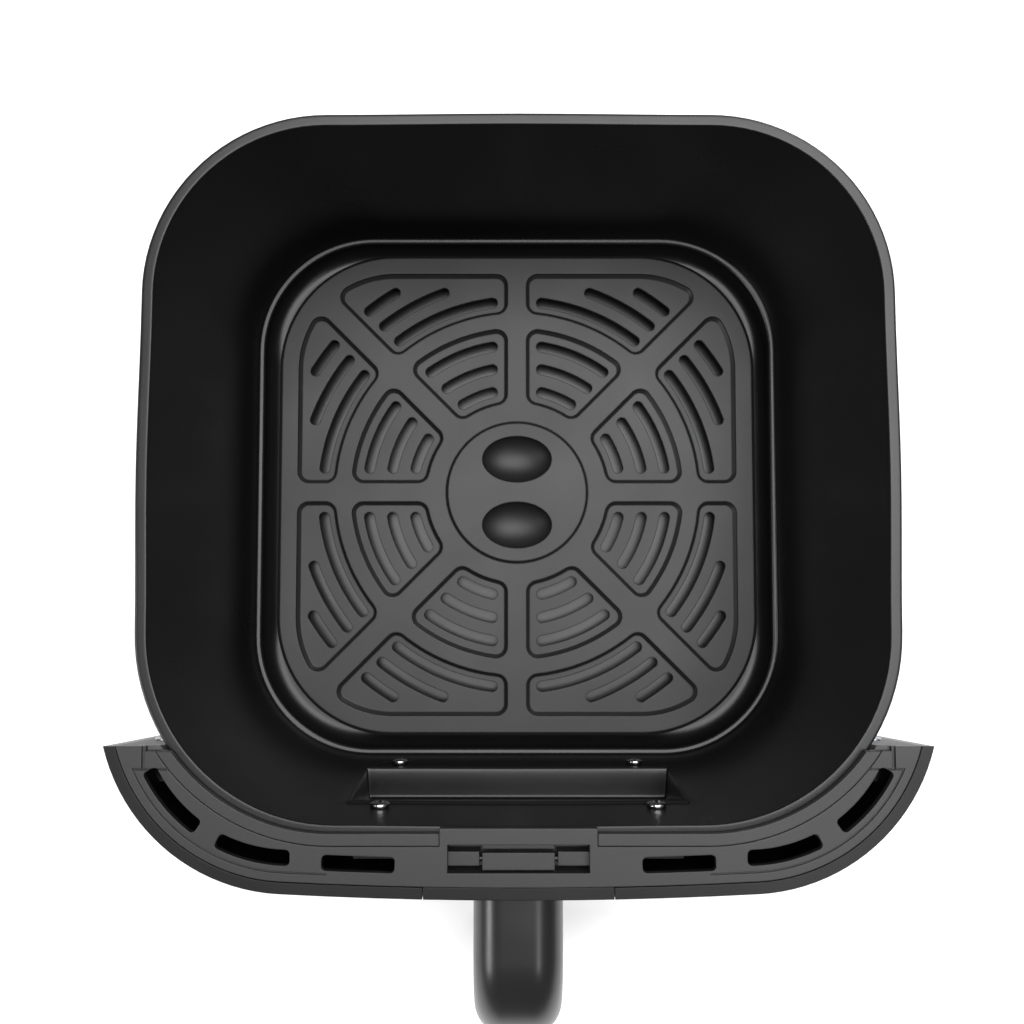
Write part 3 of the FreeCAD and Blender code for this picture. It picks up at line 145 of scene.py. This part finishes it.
# %% White table
table_paper, tree, shader, place, _ = new_material("white paper")
grain = add(tree, "ShaderNodeTexNoise", {"Vector": place, "Scale": per(2), "Detail": 3})
tone = add(tree, "ShaderNodeMix", {"Factor": grain.outputs["Fac"], "A": paint("#f4f4f4"),
                                   "B": paint("#f8f8f8")}, data_type="RGBA")
tree.links.new(tone.outputs["Result"], shader.inputs["Base Color"])
shader.inputs["Roughness"].default_value = 0.85
shader.inputs["Emission Color"].default_value = paint("#ffffff")
shader.inputs["Emission Strength"].default_value = 0.2

TABLE_HALF = 3.0
table_mesh = bpy.data.meshes.new("table")
corners = [(TABLE_HALF * x, TABLE_HALF * y, 0) for x, y in ((-1, -1), (1, -1), (1, 1), (-1, 1))]
table_mesh.from_pydata(corners, [], [(0, 1, 2, 3)])
table = bpy.data.objects.new("table", table_mesh)
table_mesh.materials.append(table_paper)
bpy.context.scene.collection.objects.link(table)
print("table:", 2 * TABLE_HALF, "m across")


# %% [markdown]
# The pan is steel sheet sprayed with a non-stick fluoropolymer and baked. The coat is a smooth satin
# black with a faint orange-peel ripple about 1.5 mm wide and fine mineral grit, so it mirrors what is
# close to it, softly. The clear polymer's index is 1.38, and the pigment and filler in the coat lift
# its shine, so 1.45 is used.

# %% Sprayed non-stick coat
def sprayed(name, dark, light, rough, ripple_mm, ripple_high, grit_mm, grit_high, ior, edge_mm):
    """A baked coat: cloudy tone, soft ripple, and fine grit that also breaks up the gloss."""
    material, tree, shader, place, edge = new_material(name, edge_mm)
    cloud = add(tree, "ShaderNodeTexNoise", {"Vector": place, "Scale": per(35), "Detail": 4})
    grit = add(tree, "ShaderNodeTexVoronoi", {"Vector": place, "Scale": per(grit_mm)}, feature="F1")
    speck = add(tree, "ShaderNodeMapRange", {"Value": grit.outputs["Distance"], "From Min": 0.0,
                                             "From Max": 0.45, "To Min": 1.0, "To Max": 0.0})
    mixed = add(tree, "ShaderNodeMath", {0: cloud.outputs["Fac"], 1: speck.outputs["Result"]},
                operation="MULTIPLY")
    tone = add(tree, "ShaderNodeMix", {"Factor": mixed.outputs["Value"], "A": paint(dark), "B": paint(light)},
               data_type="RGBA")
    gloss = add(tree, "ShaderNodeMapRange", {"Value": cloud.outputs["Fac"], "From Min": 0.3, "From Max": 0.7,
                                             "To Min": rough - 0.03, "To Max": rough + 0.03})
    wave = add(tree, "ShaderNodeTexNoise", {"Vector": place, "Scale": per(ripple_mm), "Detail": 2})
    low = add(tree, "ShaderNodeBump", {"Height": wave.outputs["Fac"], "Distance": ripple_high * MM,
                                       "Strength": 1.0, "Normal": edge})
    fine = add(tree, "ShaderNodeBump", {"Height": speck.outputs["Result"], "Distance": grit_high * MM,
                                        "Strength": 1.0, "Normal": low.outputs["Normal"]})
    tree.links.new(tone.outputs["Result"], shader.inputs["Base Color"])
    tree.links.new(gloss.outputs["Result"], shader.inputs["Roughness"])
    tree.links.new(fine.outputs["Normal"], shader.inputs["Normal"])
    shader.inputs["IOR"].default_value = ior
    return material


materials = {"pan_coating": sprayed("fluoropolymer on drawn steel", "#121213", "#1a1a1b", 0.30, 1.5, 0.010,
                                    0.5, 0.004, 1.45, 0.3)}
print("pan's coat: ripple 1.5 mm, grit 0.5 mm")

# %% [markdown]
# The grille is pressure-cast aluminium with a thicker, grainier coat that holds more mineral, so it
# is greyer and duller. The grit is about 0.3 mm apart, and is drawn at 0.6 mm so that it shows.

# %% Cast and coated grille
materials["plate_coating"] = sprayed("mineral coat on cast aluminium", "#1a1a1b", "#262627", 0.47, 2.5, 0.012,
                                     0.6, 0.010, 1.47, 0.7)
print("grille's coat: ripple 2.5 mm, grit 0.6 mm, edges rounded by 0.7 mm")


# %% [markdown]
# The front, the cover and the handle are injection-moulded ABS, and the rear cover, which gets hot,
# is nylon. The mould's steel was spark-eroded, which leaves a leathery matt grain of tiny pits. The
# real grain is about 0.15 mm, and is drawn at 0.45 to 0.6 mm so that it shows. The index is 1.53.

# %% Spark-eroded ABS
def moulded_plastic(name, dark, light, rough, grain_mm, grain_high, level=0.5, edge_mm=0.45):
    """Dyed plastic: a two-octave noise is the eroded grain, and a wide one varies the gloss a little."""
    material, tree, shader, place, edge = new_material(name, edge_mm)
    pits = add(tree, "ShaderNodeTexNoise", {"Vector": place, "Scale": per(grain_mm), "Detail": 2,
                                            "Roughness": 0.6})
    wide = add(tree, "ShaderNodeTexNoise", {"Vector": place, "Scale": per(28), "Detail": 3})
    tone = add(tree, "ShaderNodeMix", {"Factor": pits.outputs["Fac"], "A": paint(dark), "B": paint(light)},
               data_type="RGBA")
    gloss = add(tree, "ShaderNodeMapRange", {"Value": wide.outputs["Fac"], "From Min": 0.3, "From Max": 0.7,
                                             "To Min": rough - 0.03, "To Max": rough + 0.04})
    bump = add(tree, "ShaderNodeBump", {"Height": pits.outputs["Fac"], "Distance": grain_high * MM,
                                        "Strength": 1.0, "Normal": edge})
    tree.links.new(tone.outputs["Result"], shader.inputs["Base Color"])
    tree.links.new(gloss.outputs["Result"], shader.inputs["Roughness"])
    tree.links.new(bump.outputs["Normal"], shader.inputs["Normal"])
    shader.inputs["IOR"].default_value = 1.53
    shader.inputs["Specular IOR Level"].default_value = level
    return material


for slot, settings in {
    # The front's ABS is drawn darker and with half the cover's shine (level 0.25): painted shade for the
    # weaker overhead light on the front's top edge.
    "front_plastic": ("eroded ABS, front, darkened as painted shade", "#111112", "#18181a", 0.36, 0.45, 0.012, 0.25),
    "cover_plastic": ("eroded ABS, cover", "#161617", "#1f1f20", 0.44, 0.45, 0.015),
    "liner_plastic": ("heat-proof nylon, rear cover", "#39393a", "#454546", 0.55, 0.6, 0.010),
    "handle_plastic": ("eroded ABS, handle", "#121213", "#1a1a1b", 0.30, 0.45, 0.006),
}.items():
    materials[slot] = moulded_plastic(*settings)
    print(slot, "is", settings[0])

# %% [markdown]
# The feet and the pan's seals are moulded silicone: dead matt, a little soft at grazing angles
# because dust and the mould's texture scatter the light there. Sheen on the shader gives that.

# %% Silicone
materials["silicone"], tree, shader, place, edge = new_material("moulded silicone", 0.3)
skin = add(tree, "ShaderNodeTexNoise", {"Vector": place, "Scale": per(0.7), "Detail": 3})
tone = add(tree, "ShaderNodeMix", {"Factor": skin.outputs["Fac"], "A": paint("#1b1b1b"),
                                   "B": paint("#242424")}, data_type="RGBA")
bump = add(tree, "ShaderNodeBump", {"Height": skin.outputs["Fac"], "Distance": 0.02 * MM, "Strength": 1.0,
                                    "Normal": edge})
tree.links.new(tone.outputs["Result"], shader.inputs["Base Color"])
tree.links.new(bump.outputs["Normal"], shader.inputs["Normal"])
shader.inputs["Roughness"].default_value = 0.72
shader.inputs["IOR"].default_value = 1.41
shader.inputs["Sheen Weight"].default_value = 0.2
print("silicone: roughness", round(shader.inputs["Roughness"].default_value, 2))


# %% [markdown]
# The bracket, the handle's core and the catch's pin are steel with a thin black coat laid on
# electrically. The coat is even, and so thin that the sheet's rolling lines and rough skin still
# show through it, so one noise is stretched along X for both tone and bump.

# %% Black coated sheet
materials["black_steel"], tree, shader, place, edge = new_material("electro-coated sheet", 0.3)
run = add(tree, "ShaderNodeMapping", {"Vector": place, "Scale": (0.08, 1, 1)})
skin = add(tree, "ShaderNodeTexNoise", {"Vector": run.outputs["Vector"], "Scale": per(0.9), "Detail": 4})
tone = add(tree, "ShaderNodeMix", {"Factor": skin.outputs["Fac"], "A": paint("#151516"),
                                   "B": paint("#1d1d1f")}, data_type="RGBA")
bump = add(tree, "ShaderNodeBump", {"Height": skin.outputs["Fac"], "Distance": 0.006 * MM, "Strength": 1.0,
                                    "Normal": edge})
tree.links.new(tone.outputs["Result"], shader.inputs["Base Color"])
tree.links.new(bump.outputs["Normal"], shader.inputs["Normal"])
shader.inputs["Roughness"].default_value = 0.38
shader.inputs["IOR"].default_value = 1.52
print("black sheet: roughness", round(shader.inputs["Roughness"].default_value, 2))

# %% [markdown]
# The screws in the pan are polished stainless steel, and the others are zinc-plated. Plating is a
# little cloudy, and turning and tumbling leave fine marks in the metal.

# %% Plated and polished metal
def plated(name, dark, light, rough, line_mm, line_high):
    """Bright metal: one noise of fine marks, all of line_mm, sets its tone, gloss and bump."""
    material, tree, shader, place, edge = new_material(name)
    line = add(tree, "ShaderNodeTexNoise", {"Vector": place, "Scale": per(line_mm), "Detail": 4})
    tone = add(tree, "ShaderNodeMix", {"Factor": line.outputs["Fac"], "A": paint(dark), "B": paint(light)},
               data_type="RGBA")
    gloss = add(tree, "ShaderNodeMapRange", {"Value": line.outputs["Fac"], "From Min": 0.3, "From Max": 0.7,
                                             "To Min": rough - 0.04, "To Max": rough + 0.06})
    bump = add(tree, "ShaderNodeBump", {"Height": line.outputs["Fac"], "Distance": line_high * MM,
                                        "Strength": 0.6, "Normal": edge})
    tree.links.new(tone.outputs["Result"], shader.inputs["Base Color"])
    tree.links.new(gloss.outputs["Result"], shader.inputs["Roughness"])
    tree.links.new(bump.outputs["Normal"], shader.inputs["Normal"])
    shader.inputs["Metallic"].default_value = 1.0
    return material


materials["screw_steel"] = plated("zinc-plated screw", "#8a8d92", "#a9adb2", 0.30, 0.8, 0.002)
materials["screw_chrome"] = plated("polished stainless screw", "#c4c4c6", "#dcdcde", 0.14, 1.2, 0.001)

slots = {row["node"]: row["material_slot"] for row in frame["record"]["subparts"]}
for name, part in nodes.items():
    for holder in part.material_slots:
        holder.material = materials[slots[name]]
print("finishes:", len(materials))


# %% [markdown]
# New pieces are surfaces: a grid of points worked out with numpy, rows along one parameter and
# columns round the other. One helper turns such a grid into a mesh, closes its seam, and fills its
# first or last row with a fan to one middle point where the surface has a pole.

# %% From a grid to a piece
bodies = {node: body for body, members in frame["record"]["behaviour"]["bodies"].items()
          for node in members}


def grid_faces(rows, columns, first, around, start, end):
    """Quads between neighbours. 'around' joins the last column to the first, and start and end are
    fans to one middle point."""
    index = first + np.arange(rows * columns).reshape(rows, columns)
    if around:
        index = np.hstack([index, index[:, :1]])
    quads = np.stack([index[:-1, :-1], index[:-1, 1:], index[1:, 1:], index[1:, :-1]], -1).reshape(-1, 4)
    faces = quads.tolist()
    pole = first + rows * columns
    if start:
        faces += np.stack([index[0, 1:], index[0, :-1], np.full(index.shape[1] - 1, pole)], -1).tolist()
        pole += 1
    if end:
        faces += np.stack([index[-1, :-1], index[-1, 1:], np.full(index.shape[1] - 1, pole)], -1).tolist()
    return faces


def piece_from(name, grids, replaces, around=True, start=False, end=False, flip=False):
    """A piece made of one or more grids of points (rows, columns, 3), in millimetres. 'flip' turns
    its faces, for a grid whose rows run the other way."""
    points, faces, first = [], [], 0
    for grid in grids:
        rows, columns = grid.shape[:2]
        faces += grid_faces(rows, columns, first, around, start, end)
        points.append(grid.reshape(-1, 3))
        if start:
            points.append(grid[:1].mean(axis=1))
        if end:
            points.append(grid[-1:].mean(axis=1))
        first = sum(len(some) for some in points)
    mesh = bpy.data.meshes.new(name)
    mesh.from_pydata((np.vstack(points) * MM).tolist(), [], faces)
    if flip:
        mesh.flip_normals()
    mesh.shade_smooth()
    return add_piece(name, mesh, replaces)


def add_piece(name, mesh, replaces):
    """Put a mesh into the scene in place of a measured node, on its body and with its finish."""
    mesh.materials.clear()
    mesh.materials.append(materials[slots[replaces]])
    piece = bpy.data.objects.new(name, mesh)
    bpy.context.scene.collection.objects.link(piece)
    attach(piece, bodies[replaces])
    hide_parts(replaces)
    return piece


def thicken(piece, thickness):
    """Give a sheet its thickness on the side away from its normals."""
    sheet = piece.modifiers.new("sheet", "SOLIDIFY")
    sheet.thickness, sheet.offset = thickness * MM, -1.0
    sheet.use_even_offset = True


print("bodies:", sorted(set(bodies.values())))


# %% [markdown]
# The pan is drawn from one sheet. Seen from above, every level of it is a rectangle with round
# corners, so the surface is a profile carried round such an outline: flat floor, a small step round
# the foot, a leaning wall, and a rim rolled outwards and down. The outline is described by the
# middles its corners turn about and by the direction that it faces, so that levels with different
# radii still line up point by point.

# %% Outline of the pan
def ring(corner_steps, front, side):
    """Round a rectangle with round corners, from the front's middle: where each point's corner
    middle lies (-1 to 1 along X and Y) and the way it faces."""
    zero, one = np.zeros_like, np.ones_like
    quarter = np.linspace(0, math.pi / 2, corner_steps + 2)[1:-1]
    runs = []
    for turn in range(4):
        along = front if turn % 2 == 0 else side
        begin = -along[::-1]
        whole = np.concatenate([begin[:-1], along])
        facing = -math.pi / 2 + turn * math.pi / 2
        straight = np.stack([whole, -one(whole), np.full_like(whole, facing)], -1)
        corner = np.stack([one(quarter), -one(quarter), facing + quarter], -1)
        both = np.vstack([straight, corner])
        c, s = round(math.cos(turn * math.pi / 2)), round(math.sin(turn * math.pi / 2))
        both[:, 0], both[:, 1] = c * both[:, 0] - s * both[:, 1], s * both[:, 0] + c * both[:, 1]
        runs.append(both)
    every = np.vstack(runs)
    return every[:, 0], every[:, 1], np.cos(every[:, 2]), np.sin(every[:, 2])


def smooth(x, low, high):
    """0 below low, 1 above high, and an easy curve 3t^2 - 2t^3 between."""
    t = np.clip((x - low) / (high - low), 0, 1)
    return t * t * (3 - 2 * t)


def arc(start, end, steps):
    return np.radians(np.linspace(start, end, steps))


near = np.array([0, .25, .5, .75, .9, .945, .955, .962, .968, .974, .980, .986, .992, 1.0])
plain = np.array([0, .2, .4, .6, .8, 1.0])
sx, sy, nx, ny = ring(22, near, plain)
print("outline:", len(sx), "points")

# %% [markdown]
# The profile is a list of levels from the floor's middle to the rim's turned-down edge. The pressed
# recess for the bracket and the bead above it take many levels close together, so that their edges
# are crisp, and the rest of the wall takes few.

# %% Profile of the pan
# Half width, half length and the radii of the front and back corners: inside, at the step and the rim.
FOOT = np.array([112.5, 112.1, 50.0, 50.0])
TOP = np.array([123.4, 117.1, 62.5, 57.4])
STEP, HIGH, SHEET = 10.0, 115.0, 1.2
RECESS_X, RECESS_LOW, RECESS_HIGH, RECESS_Y = 60.0, 35.0, 86.0, -125.0
BOW, BEAD = 0.8, 0.8


# Each level is a scale, how far it is from the step (0) to the rim (1), an offset outwards, its
# height, how much of the recess it takes, and how much of the bead along the recess's upper edge.
turn = arc(0, 90, 10)
rise, fall = np.sin(turn), 1 - np.cos(turn)
levels = [(scale, 0.0, -9.2, SHEET, 0, 0) for scale in np.linspace(0.1, 1, 9)]
levels += [(1.0, 0.0, -9.2 + 6.6 * s, SHEET + 6.6 * c, 0, 0) for s, c in zip(rise[1:], fall[1:])]
levels += [(1.0, 0.0, -2.6 + 1.5 * c, STEP - 1.7 + 1.5 * s, 0, 0) for s, c in zip(rise[1:], fall[1:])]
levels += [(1.0, 0.0, -1.1 + 1.1 * s, STEP - 0.2 + 1.2 * c, 0, 0) for s, c in zip(rise[1:], fall[1:])]


def wall(heights, pressed=0.0, beads=None):
    """Levels of the leaning wall at those heights."""
    beads = np.zeros(len(heights)) if beads is None else beads
    return [(1.0, (z - STEP) / (HIGH - STEP), 0.0, z, pressed, bead) for z, bead in zip(heights, beads)]


levels += wall([12.5, 15, 19, 24, 29, 32.5, 34.0])
for count, share in enumerate((0.02, 0.08, 0.2, 0.4, 0.6, 0.8, 0.9, 0.97)):
    levels += wall([RECESS_LOW - 0.35 + 0.1 * count], share)
levels += wall([35.8, 37, 46, 55, 64, 73, 81, 84.5], 1.0)
for count, share in enumerate((0.97, 0.85, 0.6, 0.3, 0.1, 0.03)):
    levels += wall([RECESS_HIGH - 0.3 + 0.1 * count], share)
bead_high = RECESS_HIGH + np.linspace(0.4, 2.6, 9)
levels += wall(bead_high, beads=np.sin((bead_high - RECESS_HIGH - 0.4) / 2.2 * math.pi))
levels += wall([91, 94, 99, 104, 109, 112, 113.5])
levels += [(1.0, 1.0, 0.5 * c, HIGH - 0.5 + 0.5 * s, 0, 0) for s, c in zip(rise, fall)]
levels += [(1.0, 1.0, out, HIGH, 0, 0) for out in (1.2, 2.4)]
levels += [(1.0, 1.0, 3.1 + s, HIGH - c, 0, 0) for s, c in zip(rise, fall)]
levels += [(1.0, 1.0, 4.1, 111.5, 0, 0), (1.0, 1.0, 4.0, 110.4, 0, 0), (1.0, 1.0, 3.7, 110.1, 0, 0)]
scale, lean, out, z, pressed, bead = (np.array(column)[:, None] for column in zip(*levels))
print("profile:", len(levels), "levels")

# %% [markdown]
# Outline and profile are multiplied into one grid. The sides of a drawn pan stand out a little in
# the middle, because the sheet springs back there, and the front wall is pressed back to one plane
# over the recess. Solidify then gives the sheet its wall, outwards and downwards.

# %% Drawn pan
size = FOOT + (TOP - FOOT) * lean[..., None] + out[..., None]
half_x, half_y, front_radius, back_radius = (size[..., i] * scale for i in range(4))
radius = (front_radius + back_radius) / 2 - (front_radius - back_radius) / 2 * sy
bow = np.clip(lean, 0, 1) * BOW
x = (half_x - radius) * sx + radius * nx - bow * smooth(np.abs(sy), 0, 1) * sx
y = (half_y - radius) * sy + radius * ny - 0.6 * bow * smooth(np.abs(sx), 0, 1) * sy
there = (1 - smooth(np.abs(x), RECESS_X - 0.7, RECESS_X + 0.7)) * (y < 0) * (ny < -0.99)
y = y + (RECESS_Y - y) * pressed * there + BEAD * bead * there
sheet_grid = np.stack([x, y, np.broadcast_to(z, x.shape)], -1)
pan = piece_from("drawn_pan", [sheet_grid], "pan", start=True, flip=True)
thicken(pan, SHEET)
print("pan:", len(pan.data.vertices), "points")


# %% [markdown]
# The pan's screws and the two kinds behind the wings and the grip are turned shapes: a domed head, an
# underside and a plain shank, carried round an axis that points out of the head. The cross recess is
# a dip where either coordinate across the head is small.

# %% Screws
def screw(seat, head, high, shank, length):
    """Rows from the head's middle to the shank's end. The dome's height at radius r is
    high/2 + high/2 * sqrt(1 - (r/(1.06*head))^2)."""
    over = head * np.sin(arc(3, 90, 16))
    top = high * (0.5 + 0.5 * np.sqrt(1 - (over / (1.06 * head)) ** 2))
    radius = np.concatenate([over, [head * 0.99, shank * 1.05, shank, shank, shank * 0.7]])[:, None]
    level = np.concatenate([top, [0.02, 0.0, -0.2, 0.6 - length, -length]])[:, None]
    around = np.linspace(0, 2 * math.pi, 48, endpoint=False)
    across, up = radius * np.cos(around), radius * np.sin(around)
    narrow, wide = np.minimum(np.abs(across), np.abs(up)), np.maximum(np.abs(across), np.abs(up))
    dip = (1 - smooth(narrow, 0.09 * head, 0.16 * head)) * (1 - smooth(wide, 0.42 * head, 0.55 * head))
    level = level - 0.45 * high * dip * (level > 0.1)
    return np.stack([seat[0] + across, seat[1] + level, seat[2] + up], -1)


wall_at = {z: -(FOOT[1] + (TOP[1] - FOOT[1]) * (z - STEP) / (HIGH - STEP)) + 0.2 for z in (28.0, 93.0)}
# Each set: where its heads sit, then the head's radius and height, the shank's radius and its length.
places = {"pan_screws": ([(x, y, z) for x in (-48, 48) for z, y in wall_at.items()], 3.4, 2.2, 2.0, 15),
          "rear_cover_screws": ([(x, y, z) for x in (-124.5, 124.5) for y, z in ((-98.6, 35), (-93.7, 90))],
                                2.8, 1.8, 1.5, 12),
          "handle_screws": ([(0, -181.2, 36.0), (0, -181.2, 60.0)], 2.8, 1.8, 1.5, 16)}
for node, (seats, *measures) in places.items():
    turned = [screw(seat, *measures) for seat in seats]
    piece = piece_from(node + "_turned", turned, node, start=True, end=True)
    print(piece.name, len(seats), "screws")

# %% [markdown]
# The catch spring is a wire of 0.6 mm wound round the pin: its middle line runs along a helix and
# leaves it straight at both ends, one leg up to the lever and one down to the tray.

# %% Catch spring
PIN = np.array([0, -127.8, 112.6])
turns, coil, wire, reach = 5.5, 1.5, 0.3, 3.0
angle = np.linspace(0, 2 * math.pi * turns, 200)
outward = np.stack([np.zeros_like(angle), np.cos(angle), np.sin(angle)], -1)
path = PIN + coil * outward
path[:, 0] = np.linspace(-reach, reach, len(angle))
up, down = np.array([0, 0, 1.6]), np.array([0, 0, 3.0])
leg = np.linspace(0.1, 1, 6)[:, None]
path = np.vstack([path[0] - down * np.linspace(1, 0.1, 6)[:, None], path, path[-1] + up * leg])
outward = np.vstack([np.repeat(outward[:1], 6, 0), outward, np.repeat(outward[-1:], 6, 0)])
along = np.gradient(path, axis=0)
along /= np.linalg.norm(along, axis=1)[:, None]
aside = np.cross(along, outward)
round_wire = np.linspace(0, 2 * math.pi, 12, endpoint=False)[:, None]
tube = path[:, None] + wire * (np.cos(round_wire) * outward[:, None] + np.sin(round_wire) * aside[:, None])
spring = piece_from("wound_spring", [tube], "catch_spring", start=True, end=True)
print("spring:", len(spring.data.vertices), "points")

# %% [markdown]
# The grille stands on four silicone feet. Each is a round button, 10 mm across and 6.5 mm high, with
# a rounded lower edge. A profile of radius and height carried round an upright axis says it in full.

# %% Moulded feet
FOOT_X, FOOT_Y = 73.2, 74
bend = arc(0, 90, 6)
foot_radius = np.concatenate([[1.0, 3.2], 4.0 + np.sin(bend), [5.0, 5.0, 4.6, 3.0]])[:, None]
foot_level = np.concatenate([[1.2, 1.2], 2.2 - np.cos(bend), [4.5, 7.3, 7.7, 7.7]])[:, None]
around = np.linspace(0, 2 * math.pi, 48, endpoint=False)
for side_y, front_back in ((-FOOT_Y, "front"), (FOOT_Y, "back")):
    for side_x, left_right in ((-FOOT_X, "left"), (FOOT_X, "right")):
        turned = [side_x + foot_radius * np.cos(around), side_y + foot_radius * np.sin(around),
                  foot_level + 0 * around]
        node = f"crisper_foot_{front_back}_{left_right}"
        foot = piece_from(node + "_moulded", [np.stack(turned, -1)], node, start=True, end=True)
        print(foot.name, len(foot.data.vertices), "points")


# %% [markdown]
# The other mouldings and the cast grille keep their measured shapes. Each is a copy of its measured
# mesh, merged and shaded smooth, with a crease wherever two faces meet at more than 30 degrees. The
# small radius along each crease is in the finishes above: their normals turn over it.

# %% Mouldings and grille
CREASE = math.radians(30)


def smooth_copy(node):
    """A merged copy of a measured node, shaded smooth up to the crease angle."""
    work = bmesh.new()
    work.from_mesh(nodes[node].data)
    bmesh.ops.remove_doubles(work, verts=work.verts, dist=2e-6)
    mesh = bpy.data.meshes.new(node + "_smooth")
    work.to_mesh(mesh)
    work.free()
    mesh.shade_smooth()
    piece = add_piece(node + "_smooth", mesh, node)
    crease = piece.modifiers.new("crease", "EDGE_SPLIT")
    crease.split_angle, crease.use_edge_sharp = CREASE, False
    return piece


for node in ("front_shell", "handle_base", "top_cover", "rim_lips", "rear_cover", "catch_tray", "catch_lever",
             "handle_end_cap", "crisper_plate", "handle_inner_shell", "handle_outer_shell"):
    copy = smooth_copy(node)
    print(copy.name, len(copy.data.polygons), "faces")
